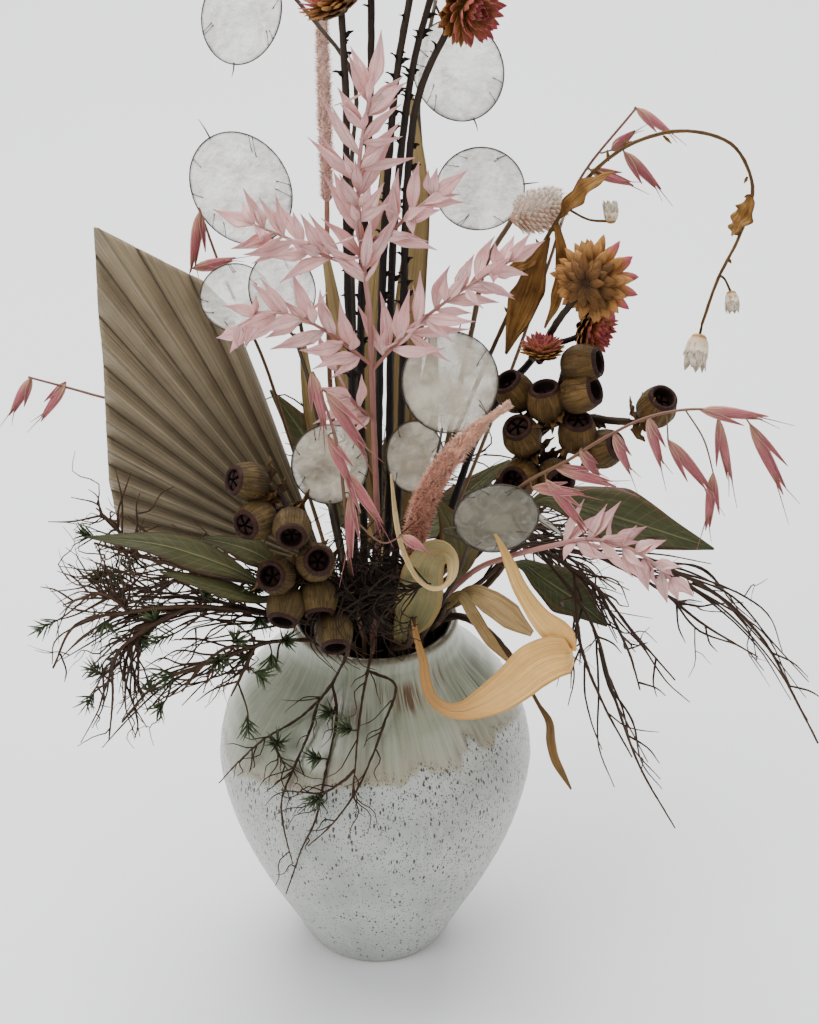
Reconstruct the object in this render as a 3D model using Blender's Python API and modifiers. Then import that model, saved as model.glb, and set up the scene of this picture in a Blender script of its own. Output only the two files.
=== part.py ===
import math
import random

import bmesh
import bpy
from mathutils import Matrix, Vector
from mathutils.bvhtree import BVHTree

MM = 0.001

# Points closer than this, in metres, are one point
TINY = 0.000001

# Vase: outer radius and height of each point of the turned outline, in mm
VASE_OUTLINE = [
    (30.0, 0.0), (33.0, 3.0), (41.5, 20.0), (53.0, 43.0), (62.5, 67.0), (68.3, 90.0),
    (69.0, 104.0), (65.0, 121.0), (56.0, 136.0), (45.0, 148.0), (38.5, 156.5), (35.5, 164.0),
]
VASE_WALL = 4.0
VASE_FLOOR = 7.0
LIP_HEIGHT = 170.5
LIP_WIDTH = 36.3
LIP_SHOULDER = 168.8
LIP_ROUND = 0.7
VASE_STEPS = 36
WALL_RINGS = 10

# Hollow of the vase: radius of its floor, heights where its wall is set, and its width at the lip
HOLLOW_FLOOR = 27.0
HOLLOW_HEIGHTS = (18.0, 60.0, 104.0, 138.0, 158.0)
HOLLOW_LIP = LIP_WIDTH - 3.6

# Stems stand in the neck on a grid of rows and columns, and closer together on the floor
STEM_PITCH = 8.0
STEM_ROW = 7.0
NECK_HEIGHT = 172.0
FLOOR_SPREAD = 0.84
SEAT_GAP = 0.3

# Front view that places are read from: pixels across and down, and mm toward the viewer
VIEW_FOCUS = 2600.0
VIEW_CENTRE = (409.5, 512.0)
VIEW_TILT = math.radians(31.5)
VIEW_FROM = Vector((15.3, -937.5, 796.9)) * MM

# How far short of a stem's end the pieces on it are rooted
JOINT_DEPTH = 1.5

# Thickness of pleated, strap and pod skins, and the radius of the finest stalks, in mm
SKIN_THICK = 0.9
HAIR_THICK = 0.6

# Turn from each scale or bristle to the next one round a spiral
SPIRAL_TURN = 2.39996

# Least gap between a small repeat and the pieces round it
CLEAR_GAP = 0.45

COLOURS = {
    "glaze": ((0.72, 0.73, 0.70), 0.35),
    "palm": ((0.50, 0.43, 0.32), 0.75),
    "pod": ((0.80, 0.79, 0.75), 0.35),
    "ruscus": ((0.83, 0.64, 0.64), 0.70),
    "foxtail": ((0.82, 0.56, 0.48), 0.85),
    "strawflower": ((0.62, 0.38, 0.22), 0.60),
    "gumnut_olive": ((0.42, 0.34, 0.18), 0.65),
    "gumnut_dark": ((0.24, 0.18, 0.10), 0.65),
    "leaf_green": ((0.30, 0.33, 0.22), 0.60),
    "leaf_tan": ((0.78, 0.64, 0.44), 0.60),
    "leaf_brown": ((0.48, 0.32, 0.16), 0.70),
    "daisy": ((0.52, 0.36, 0.18), 0.70),
    "cone": ((0.85, 0.76, 0.74), 0.85),
    "oat": ((0.65, 0.40, 0.40), 0.70),
    "twig": ((0.17, 0.11, 0.08), 0.80),
}

UP = Vector((0.0, 0.0, 1.0))
RIGHT = Vector((1.0, 0.0, 0.0))
VIEW_UP = Vector((0.0, math.sin(VIEW_TILT), math.cos(VIEW_TILT)))
TOWARD = Vector((0.0, -math.cos(VIEW_TILT), math.sin(VIEW_TILT)))

built = []


def start_scene():
    """Empty the scene and add the collections that hold the object and the guides."""
    for old in list(bpy.data.objects):
        bpy.data.objects.remove(old)
    parts = bpy.data.collections.new("dried_flowers_in_vase")
    guides = bpy.data.collections.new("guides")
    bpy.context.scene.collection.children.link(parts)
    bpy.context.scene.collection.children.link(guides)
    return parts, guides


def make_material(name):
    """Principled material with one colour and roughness."""
    colour, roughness = COLOURS[name]
    material = bpy.data.materials.new(name)
    material.use_nodes = True
    shader = material.node_tree.nodes["Principled BSDF"]
    shader.inputs["Base Color"].default_value = (*colour, 1.0)
    shader.inputs["Roughness"].default_value = roughness
    shader.inputs["Metallic"].default_value = 0.0
    material.diffuse_color = (*colour, 1.0)
    return material


def seen(across, down, near):
    """The place that the front view shows at a pixel, near mm in front of the vase's axis."""
    right = (across - VIEW_CENTRE[0]) / VIEW_FOCUS
    drop = (down - VIEW_CENTRE[1]) / VIEW_FOCUS
    ray = TOWARD * -1.0 + RIGHT * right - VIEW_UP * drop
    reach = (-near * MM - VIEW_FROM.y) / ray.y
    return VIEW_FROM + ray * reach


def vase_radius(height):
    """Outer radius of the vase at a height, both in mm."""
    outline = VASE_OUTLINE + [(LIP_WIDTH, LIP_HEIGHT)]
    for (r0, z0), (r1, z1) in zip(outline, outline[1:]):
        if z0 <= height <= z1:
            return r0 + (r1 - r0) * (height - z0) / (z1 - z0)
    return 0.0


def over_vase(across, down, lift):
    """The place at a pixel that lies lift mm outside the vase's front."""
    near = 110.0
    place = seen(across, down, near)
    while near > 0.0:
        place = seen(across, down, near)
        if place.xy.length / MM < vase_radius(place.z / MM) + lift:
            break
        near -= 0.5
    return place


def facing(right, up, toward=1.0):
    """Unit direction given by its parts to the right, up and toward the viewer."""
    return (RIGHT * right + VIEW_UP * up + TOWARD * toward).normalized()


def slot(column, row):
    """A stem's places on the floor and in the neck."""
    shift = 0.5 if row % 2 else 0.0
    across = (column + shift) * STEM_PITCH * MM
    away = -row * STEM_ROW * MM
    foot_height = (VASE_FLOOR + SEAT_GAP) * MM
    foot = Vector((across * FLOOR_SPREAD, away * FLOOR_SPREAD, foot_height))
    return [foot, Vector((across, away, NECK_HEIGHT * MM))]


def smooth(points, count):
    """Places spread evenly along a smooth curve through the given ones."""
    ends = [points[0] * 2 - points[1]] + list(points) + [points[-1] * 2 - points[-2]]
    fine = []
    for a, b, c, d in zip(ends, ends[1:], ends[2:], ends[3:]):
        for k in range(12):
            t = k / 12
            fine.append(0.5 * (2 * b + (c - a) * t + (2 * a - 5 * b + 4 * c - d) * t * t
                               + (3 * b - a - 3 * c + d) * t ** 3))
    fine.append(points[-1])
    lengths = [0.0]
    for a, b in zip(fine, fine[1:]):
        lengths.append(lengths[-1] + (b - a).length)
    spread = []
    step = 0
    for k in range(count):
        goal = lengths[-1] * k / (count - 1)
        while step < len(fine) - 2 and lengths[step + 1] < goal:
            step += 1
        span = max(lengths[step + 1] - lengths[step], 1e-9)
        spread.append(fine[step].lerp(fine[step + 1], (goal - lengths[step]) / span))
    return spread


def read_along(values, share):
    """Value at a share of the way through an evenly spaced list."""
    spot = share * (len(values) - 1)
    step = min(int(spot), len(values) - 2)
    return values[step] + (values[step + 1] - values[step]) * (spot - step)


def nearest(paths, point):
    """The place inside any of the stems that is nearest to a point, short of the stem's end."""
    best = paths[0][0]
    for path in paths:
        for a, b in zip(path, path[1:]):
            span = (b - a).length
            share = (point - a).dot(b - a) / max(span * span, 1e-12)
            place = a.lerp(b, min(max(share, 0.0), 1.0 - JOINT_DEPTH * MM / span))
            if (place - point).length < (best - point).length:
                best = place
    return best


def along(path, share):
    """Place and direction at a share of the way along a path."""
    spot = min(max(share, 0.0), 0.999) * (len(path) - 1)
    step = int(spot)
    place = path[step].lerp(path[step + 1], spot - step)
    return place, (path[step + 1] - path[step]).normalized()


def stem_path(place, points, count):
    """A stem's path: straight from the floor to the neck, then a smooth curve."""
    foot, neck = slot(*place)
    return [foot] + smooth([neck] + list(points), count)


def evaluated(thing):
    """The mesh that an object shows, as a mesh of its own."""
    bpy.context.scene.collection.objects.link(thing)
    bpy.context.view_layer.update()
    depsgraph = bpy.context.evaluated_depsgraph_get()
    mesh = bpy.data.meshes.new_from_object(thing.evaluated_get(depsgraph))
    bpy.data.objects.remove(thing)
    return mesh


def from_bmesh(work, corners="BEAUTY"):
    """Close a bmesh into a mesh with flat triangles."""
    bmesh.ops.triangulate(work, faces=work.faces, ngon_method=corners)
    mesh = bpy.data.meshes.new("piece")
    work.to_mesh(mesh)
    work.free()
    return mesh


def tube(path, thick, sides):
    """Stem along a path: radii in mm at its ends or at each point, and 0 for a point."""
    curve = bpy.data.curves.new("stem", "CURVE")
    curve.dimensions = "3D"
    curve.use_fill_caps = True
    if sides == 3:
        curve.bevel_mode = "OBJECT"
        curve.bevel_object = bpy.data.objects["three_sided"]
    else:
        curve.bevel_depth = 1.0
        curve.bevel_resolution = sides // 2 - 2
    spline = curve.splines.new("POLY")
    spline.points.add(len(path) - 1)
    for k, place in enumerate(path):
        spline.points[k].co = (*place, 1.0)
        spline.points[k].radius = read_along(thick, k / (len(path) - 1)) * MM
    mesh = evaluated(bpy.data.objects.new("stem", curve))
    work = bmesh.new()
    work.from_mesh(mesh)
    bmesh.ops.remove_doubles(work, verts=work.verts, dist=TINY)
    return from_bmesh(work)


def needle(root, tip, thick):
    """Straight three-sided needle, widest near its root."""
    return tube([root, root.lerp(tip, 0.3), tip], (0.0, thick, 0.0), 3)


def twig(root, bend, tip, thick):
    """Short bent three-sided twig that tapers to a point."""
    return tube([root, root.lerp(bend, 0.3), bend, tip], (0.0, thick, thick * 0.8, 0.0), 3)


def loft(sections):
    """Closed skin over rings of points, with a single point at either end."""
    work = bmesh.new()
    rings = [[work.verts.new(p) for p in ring] for ring in sections]
    for low, high in zip(rings, rings[1:]):
        size = max(len(low), len(high))
        for k in range(size):
            n = (k + 1) % size
            if len(low) == 1:
                work.faces.new((low[0], high[k], high[n]))
            elif len(high) == 1:
                work.faces.new((low[k], high[0], low[n]))
            else:
                work.faces.new((low[k], high[k], low[n]))
                work.faces.new((low[n], high[k], high[n]))
    bmesh.ops.recalc_face_normals(work, faces=work.faces)
    return from_bmesh(work)


def blade(root, way, face, length, width, thick, curl=0.0, widest=(0.36, 0.72)):
    """Pointed leaf or husk with a raised middle; sizes in mm, curl is a share of its length."""
    way = way.normalized()
    side = way.cross(face).normalized()
    lift = side.cross(way).normalized()
    sections = [[root]]
    for n, share in enumerate(widest):
        half = width / 2 * MM * (1.0 if n == 0 else 0.66)
        centre = root + way * length * MM * share + lift * curl * length * MM * share ** 2
        ridge = lift * thick * MM
        sections.append([centre - side * half, centre + ridge, centre + side * half])
    sections.append([root + way * length * MM + lift * curl * length * MM])
    return loft(sections)


def leaf(path, widths, face, thick):
    """Broad leaf along a path, flat below and raised along its middle; widths in mm."""
    sections = [[path[0]]]
    for k in range(1, len(path) - 1):
        way = (path[k + 1] - path[k - 1]).normalized()
        side = way.cross(face).normalized()
        half = read_along(widths, k / (len(path) - 1)) / 2 * MM
        ridge = side.cross(way).normalized() * thick * MM
        sections.append([path[k] - side * half, path[k] + ridge, path[k] + side * half])
    sections.append([path[-1]])
    return loft(sections)


def sheet(rows, thick):
    """Even skin, thick mm through, over rows of points."""
    work = bmesh.new()
    grid = [[work.verts.new(p) for p in row] for row in rows]
    for low, high in zip(grid, grid[1:]):
        for a, b, c, d in zip(low, low[1:], high[1:], high):
            work.faces.new((a, b, c))
            work.faces.new((a, c, d))
    return thickened(work, thick)


def thickened(work, thick):
    """Solid skin made from an open surface."""
    mesh = bpy.data.meshes.new("skin")
    work.to_mesh(mesh)
    work.free()
    shell = bpy.data.objects.new("skin", mesh)
    solid = shell.modifiers.new("thickness", "SOLIDIFY")
    solid.thickness = thick * MM
    solid.offset = 0.0
    whole = bmesh.new()
    whole.from_mesh(evaluated(shell))
    bmesh.ops.recalc_face_normals(whole, faces=whole.faces)
    return from_bmesh(whole)


def ribbon(path, widths, faces, fold=0.15):
    """Strap leaf along a path: widths in mm, a facing direction at each point."""
    rows = []
    for k, place in enumerate(path):
        share = k / (len(path) - 1)
        way = path[min(k + 1, len(path) - 1)] - path[max(k - 1, 0)]
        face, _ = along(faces, share)
        side = way.cross(face).normalized()
        lift = side.cross(way).normalized()
        half = read_along(widths, share) / 2 * MM
        rows.append([place - side * half + lift * half * fold, place - lift * half * fold,
                     place + side * half + lift * half * fold])
    return sheet(rows, SKIN_THICK)


def turned(outline, steps, place=None, way=None):
    """Solid turned round its axis from (radius, height) points in mm, top to bottom."""
    mesh = bpy.data.meshes.new("turned")
    points = [(r * MM, 0.0, z * MM) for r, z in outline]
    mesh.from_pydata(points, [(k, k + 1) for k in range(len(points) - 1)], [])
    shape = bpy.data.objects.new("turned", mesh)
    screw = shape.modifiers.new("turn", "SCREW")
    screw.steps = steps
    screw.render_steps = steps
    screw.use_merge_vertices = True
    screw.merge_threshold = TINY * 10.0
    work = bmesh.new()
    work.from_mesh(evaluated(shape))
    bmesh.ops.remove_doubles(work, verts=work.verts, dist=TINY)
    bmesh.ops.recalc_face_normals(work, faces=work.faces)
    if place is not None:
        turn = way.to_track_quat("Z", "Y").to_matrix().to_4x4()
        bmesh.ops.transform(work, matrix=Matrix.Translation(place) @ turn, verts=work.verts)
    return from_bmesh(work)


def tree_of(mesh, swell=0.0):
    """Search tree of a mesh, its surface moved out by swell mm."""
    work = bmesh.new()
    work.from_mesh(mesh)
    work.normal_update()
    if swell:
        for v in work.verts:
            v.co += v.normal * swell * MM
    found = BVHTree.FromBMesh(work)
    work.free()
    return found


def first_clear(choices, kin=None):
    """The first of several ways to set a small piece that meets nothing, or none."""
    kin = [] if kin is None else kin
    for mesh in choices:
        own = tree_of(mesh, CLEAR_GAP)
        if not any(other.overlap(own) for other in built + kin):
            kin.append(tree_of(mesh))
            return mesh
    return None


def keep_largest(work):
    """Drop loose scraps and sealed hollows, so that one closed body is left."""
    left = set(work.faces)
    islands = []
    while left:
        start = left.pop()
        island = [start]
        stack = [start]
        while stack:
            face = stack.pop()
            for edge in face.edges:
                for other in edge.link_faces:
                    if other in left:
                        left.remove(other)
                        island.append(other)
                        stack.append(other)
        islands.append(island)
    islands.sort(key=len)
    for island in islands[:-1]:
        bmesh.ops.delete(work, geom=island, context="FACES")
    loose = [v for v in work.verts if not v.link_faces]
    bmesh.ops.delete(work, geom=loose, context="VERTS")


def is_closed(mesh):
    """Whether every edge of a mesh has just two faces."""
    work = bmesh.new()
    work.from_mesh(mesh)
    closed = all(edge.is_manifold for edge in work.edges)
    work.free()
    return closed


def fuse(name, pieces, finish):
    """Join meshes into one closed body, and keep it as a named object."""
    pieces = [p for p in pieces if p is not None]
    body = bpy.data.objects.new(name, pieces[0])
    if len(pieces) > 1:
        extras = bpy.data.collections.new("extras")
        bpy.context.scene.collection.children.link(extras)
        for mesh in pieces[1:]:
            extras.objects.link(bpy.data.objects.new("extra", mesh))
        join = body.modifiers.new("join", "BOOLEAN")
        join.operation = "UNION"
        join.operand_type = "COLLECTION"
        join.collection = extras
        join.solver = "MANIFOLD"
        joined = evaluated(body)
        for extra in list(extras.objects):
            bpy.data.objects.remove(extra)
        bpy.data.collections.remove(extras)
    else:
        joined = pieces[0].copy()
        bpy.data.objects.remove(body)
    for corners in ("BEAUTY", "EAR_CLIP"):
        work = bmesh.new()
        work.from_mesh(joined)
        keep_largest(work)
        mesh = from_bmesh(work, corners)
        if is_closed(mesh):
            break
    mesh.name = name
    mesh.materials.clear()
    mesh.materials.append(bpy.data.materials.get(finish) or make_material(finish))
    whole = bpy.data.objects.new(name, mesh)
    PARTS.objects.link(whole)
    built.append(tree_of(mesh))
    return whole


def make_guide():
    """Three-sided outline that thin twigs are swept from."""
    curve = bpy.data.curves.new("three_sided", "CURVE")
    curve.dimensions = "2D"
    spline = curve.splines.new("POLY")
    spline.points.add(2)
    spline.use_cyclic_u = True
    for k, point in enumerate(spline.points):
        turn = -math.tau * k / 3
        point.co = (math.cos(turn), math.sin(turn), 0.0, 1.0)
    guide = bpy.data.objects.new("three_sided", curve)
    guide.hide_render = True
    guide.display_type = "WIRE"
    GUIDES.objects.link(guide)


def make_vase():
    """Turned jar: outer wall down to the foot, with the hollow inside it."""
    outer = [Vector((r, 0.0, z)) for r, z in VASE_OUTLINE]
    lip = [(LIP_WIDTH - 2.0, LIP_HEIGHT), (LIP_WIDTH - 0.4, LIP_HEIGHT - LIP_ROUND),
           (LIP_WIDTH, LIP_SHOULDER)]
    wall = [(p.x, p.z) for p in reversed(smooth(outer, WALL_RINGS))]
    inner = [(0.0, VASE_FLOOR), (HOLLOW_FLOOR, VASE_FLOOR)]
    for height in HOLLOW_HEIGHTS:
        inner.append((vase_radius(height) - VASE_WALL, height))
    inner.append((HOLLOW_LIP, LIP_HEIGHT - LIP_ROUND))
    outline = lip + wall + [(0.0, 0.0)]
    fuse("vase", [turned(inner + outline, VASE_STEPS)], "glaze")


# Palm fan: where its pleats meet, and its trimmed edge from low left round to the right
FAN_HEART = (325.0, 566.0)
FAN_EDGE = [(127, 537), (118, 524), (109, 480), (107, 440), (103, 355), (99, 320), (94, 226),
            (170, 265), (203, 281), (229, 307), (262, 390), (298, 489)]
FAN_FOLDS = 22
FAN_DEPTH = 3.2
FAN_LEAN = (-6.0, -26.0)
FAN_ROWS = (0.05, 0.5, 1.0)
FAN_STALK = [(340, 600, -3), (325, 566, -6), (312, 548, -8)]
FAN_STALK_THICK = (2.4, 3.4)


def edge_at(heart, edge, turn):
    """Where a ray from the heart of the fan crosses its trimmed edge, in pixels."""
    ray = Vector((math.cos(turn), math.sin(turn)))
    best = None
    for a, b in zip(edge, edge[1:]):
        start = Vector(a) - Vector(heart)
        span = Vector(b) - Vector(a)
        bottom = ray.x * span.y - ray.y * span.x
        if abs(bottom) < 1e-9:
            continue
        reach = (start.x * span.y - start.y * span.x) / bottom
        share = (start.x * ray.y - start.y * ray.x) / bottom
        if -0.001 <= share <= 1.001 and reach > 0:
            best = reach if best is None else max(best, reach)
    return best


def make_palm_fan():
    """Pleated fan on a flat stalk; folds run from the heart to the trimmed edge."""
    first = math.atan2(FAN_EDGE[0][1] - FAN_HEART[1], FAN_EDGE[0][0] - FAN_HEART[0])
    last = math.atan2(FAN_EDGE[-1][1] - FAN_HEART[1], FAN_EDGE[-1][0] - FAN_HEART[0])
    first = first % math.tau
    last = last % math.tau
    rows = [[], [], []]
    for k in range(FAN_FOLDS + 1):
        turn = first + (last - first) * k / FAN_FOLDS
        reach = edge_at(FAN_HEART, FAN_EDGE, turn)
        for row, share in zip(rows, FAN_ROWS):
            fold = FAN_DEPTH * share * (1 if k % 2 else -1)
            near = FAN_LEAN[0] + (FAN_LEAN[1] - FAN_LEAN[0]) * share + fold
            row.append(seen(FAN_HEART[0] + math.cos(turn) * reach * share,
                            FAN_HEART[1] + math.sin(turn) * reach * share, near))
    stalk = stem_path((-2, 0), [seen(*p) for p in FAN_STALK], 5)
    fuse("palm_fan", [tube(stalk, FAN_STALK_THICK, 6), sheet(rows, SKIN_THICK)], "palm")


# Palm spear: each folded blade's path, with its widths in mm
SPEAR_BLADES = [
    ([(385, 556), (398, 430), (409, 300), (420, 190), (411, 96)], (3, 8, 12, 13, 2)),
    ([(378, 556), (354, 440), (338, 330), (322, 235)], (3, 8, 9, 2)),
    ([(390, 560), (412, 480), (428, 400), (434, 325)], (3, 9, 12, 2)),
    ([(382, 556), (370, 430), (371, 320), (386, 158)], (3, 7, 9, 3)),
    ([(376, 560), (340, 490), (314, 420), (302, 335)], (3, 8, 9, 2)),
]
SPEAR_NEAR = -40.0
SPEAR_STEP = 1.5
SPEAR_STALK = [(381, 578, -18), (383, 550, -32)]
SPEAR_STALK_THICK = (2.4, 2.6)
SPEAR_RIDGE = 1.8


def make_palm_spear():
    """Young palm leaf, folded shut, whose blades part toward their tips."""
    stalk = stem_path((0, -2), [seen(*p) for p in SPEAR_STALK], 4)
    pieces = [tube(stalk, SPEAR_STALK_THICK, 6)]
    for n, (spots, widths) in enumerate(SPEAR_BLADES):
        start = nearest([stalk[2:]], stalk[-1])
        points = [start] + [seen(x, y, SPEAR_NEAR - SPEAR_STEP * n) for x, y in spots[1:]]
        path = smooth(points, 6)
        face = facing(-0.25 + 0.12 * n, 0.0)
        pieces.append(leaf(path, widths, face, SPEAR_RIDGE))
    fuse("palm_spear", pieces, "palm")


# Honesty pods: sides of the disc, its dish in mm, and the stalk's radius and depth in the disc
POD_SIDES = 12
POD_DISH = 0.9
POD_STALK = 0.8
POD_ROOT = 1.5


def pod(paths, spot, long_half, wide_half, turn, lean=(0.0, 0.0), tail=None):
    """Flat round pod with its stalk: half sizes in mm, stalk end turned in degrees from up."""
    centre = seen(*spot)
    face = facing(lean[0], lean[1])
    up = (VIEW_UP - face * VIEW_UP.dot(face)).normalized()
    side = up.cross(face)
    long_way = up * math.cos(math.radians(turn)) + side * math.sin(math.radians(turn))
    wide_way = long_way.cross(face)
    work = bmesh.new()
    bmesh.ops.create_circle(work, cap_ends=True, cap_tris=True, segments=POD_SIDES, radius=1.0)
    for v in work.verts:
        dish = POD_DISH * (v.co.x * v.co.x - v.co.y * v.co.y * 0.6)
        v.co = (centre + long_way * v.co.y * long_half * MM + wide_way * v.co.x * wide_half * MM
                + face * dish * MM)
    pieces = [thickened(work, SKIN_THICK)]
    base = centre + long_way * (long_half - POD_ROOT) * MM
    joint = nearest(paths, base + long_way * 8.0 * MM)
    bend = base + long_way * min(6.0 * MM, (joint - base).length * 0.4)
    pieces.append(tube(smooth([joint, bend, base], 4), (0.0, POD_STALK, POD_STALK, POD_STALK), 3))
    if tail is not None:
        pieces.append(needle(centre - long_way * (long_half - POD_ROOT) * MM,
                             centre - long_way * (long_half + tail) * MM, HAIR_THICK))
    return pieces


HONESTY_STEM = (1.3, 0.9)
# Honesty: each stem's place in the neck, its path, and each pod's middle, half sizes in mm,
# stalk direction in degrees from up, lean and tail in mm
HONESTY = {
    "honesty_top": {
        "slot": (-1, -2),
        "stem": [(366, 545, -22), (357, 420, -30), (352, 250, -30), (352, 120, -28), (352, 53, -28),
                 (322, 26, -30), (290, -4, -34), (262, -40, -40), (250, -52, -40)],
        "pods": [((242, 14, -28), 20.0, 16.0, 8, (-0.2, 0.1), 5.0)],
    },
    "honesty_back_left": {
        "slot": (-2, -3),
        "stem": [(338, 552, -34), (318, 430, -54), (302, 330, -60), (290, 270, -58)],
        "pods": [((241, 188, -54), 24.5, 20.0, 148, (0.12, 0.0), 9.0)],
    },
    "honesty_right_back": {
        "slot": (0, -3),
        "stem": [(401, 550, -38), (415, 420, -52), (423, 290, -58), (422, 150, -62),
                 (418, 60, -66), (424, 14, -70), (436, 0, -72)],
        "pods": [((458, 70, -58), 21.0, 18.5, -18, (0.1, 0.0), 5.0),
                 ((480, 189, -54), 18.5, 17.5, -96, (-0.1, 0.1), 6.0)],
    },
    "honesty_left": {
        "slot": (-2, 1),
        "stem": [(345, 570, 2), (333, 500, 0), (318, 420, -4), (304, 360, -6), (294, 334, -6)],
        "pods": [((282, 290, -12), 16.0, 13.5, 168, (0.1, 0.0), 4.0),
                 ((236, 298, -16), 15.0, 14.0, 118, (0.0, 0.1), None),
                 ((330, 464, 12), 16.5, 16.0, 180, (0.1, 0.0), None)],
    },
    "honesty_front": {
        "slot": (1, 1),
        "stem": [(418, 560, 12), (424, 500, 20), (436, 456, 24)],
        "pods": [((450, 382, 23), 20.5, 19.5, 190, (0.1, 0.05), 5.0),
                 ((415, 457, 8), 15.0, 12.0, 180, (0.1, 0.0), None)],
    },
    "honesty_low": {
        "slot": (2, 3),
        "stem": [(446, 594, 24), (462, 566, 30), (470, 542, 34)],
        "pods": [((496, 518, 45), 17.5, 14.0, -104, (-0.1, -0.3), None),
                 ((528, 512, 24), 17.0, 14.0, 0, (5.0, 8.0), None)],
    },
}


def make_honesty(name, plan):
    """Branched honesty stem with a papery pod at the end of each stalk."""
    path = stem_path(plan["slot"], [seen(*p) for p in plan["stem"]], len(plan["stem"]) + 1)
    pieces = [tube(path, HONESTY_STEM, 3)]
    for one_pod in plan["pods"]:
        pieces += pod([path[2:]], *one_pod)
    fuse(name, pieces, "pod")


# Gum nuts: each one's middle and the way its mouth faces, to the right, up and toward the viewer
NUT_SIZE = 8.2
NUT_SIDES = 6
NUT_STEM = (2.0, 1.7)
NUT_STALK = 1.5
GUMNUTS = {
    "gumnuts_left": {
        "slot": (-3, 2),
        "stem": [(330, 612, 24), (314, 580, 32), (300, 540, 36), (288, 505, 34)],
        "nuts": [((248, 482, 34), (-0.8, 0.1, 0.6)), ((256, 520, 42), (-0.6, -0.3, 0.8)),
                 ((292, 528, 46), (0.0, -0.5, 0.8)), ((276, 576, 48), (-0.3, 0.0, 1.0)),
                 ((316, 562, 47), (0.2, 0.1, 1.0)), ((286, 606, 50), (-0.2, -0.9, 0.5)),
                 ((318, 598, 46), (0.1, -1.0, 0.4)), ((334, 632, 50), (0.1, -0.9, 0.5))],
        "finish": "gumnut_olive",
    },
    "gumnuts_right": {
        "slot": (2, 0),
        "stem": [(450, 560, 6), (494, 490, 8), (528, 446, 8), (560, 420, 8), (600, 418, 10),
                 (630, 422, 12)],
        "nuts": [((657, 407, 14), (0.3, 0.5, 0.8)), ((577, 433, 18), (0.0, 0.7, 0.7)),
                 ((603, 449, 18), (0.7, 0.2, 0.6)), ((582, 364, 10), (0.9, 0.1, 0.4)),
                 ((580, 394, 16), (0.8, 0.2, 0.5)), ((547, 402, 14), (-0.2, 0.8, 0.6)),
                 ((522, 436, 17), (-0.3, 0.5, 0.8)), ((556, 478, 20), (0.2, -0.3, 0.9)),
                 ((515, 392, 6), (-0.5, 0.6, 0.6)), ((519, 478, 22), (-0.4, -0.2, 0.9))],
        "finish": "gumnut_dark",
    },
}


def nut_outline(size):
    """Bell-shaped nut with a rimmed open mouth at the top."""
    return [(0.0, size * 0.4), (size * 0.52, size * 0.96), (size * 0.74, size * 0.9),
            (size * 0.98, -size * 0.1), (0.0, -size * 1.1)]


def make_gumnuts(name, plan):
    """Cluster of woody nuts on short stalks along one stem."""
    stem = [seen(*p) for p in plan["stem"]]
    path = stem_path(plan["slot"], stem, 6)
    pieces = [tube(path, NUT_STEM, 3)]
    for spot, mouth in plan["nuts"]:
        way = facing(*mouth)
        middle = seen(*spot)
        base = middle - way * NUT_SIZE * 0.8 * MM
        joint = nearest([path[2:]], base)
        bend = joint.lerp(base, 0.6) - way * 3.0 * MM
        pieces.append(tube([joint, bend, base], (0.0, NUT_STALK, NUT_STALK), 3))
        pieces.append(turned(nut_outline(NUT_SIZE), NUT_SIDES, middle, way))
    fuse(name, pieces, plan["finish"])


LEAF_STEM = (1.7, 1.4)
LEAF_RIDGE = 1.4
STRAP_ROOT = 1.3
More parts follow.
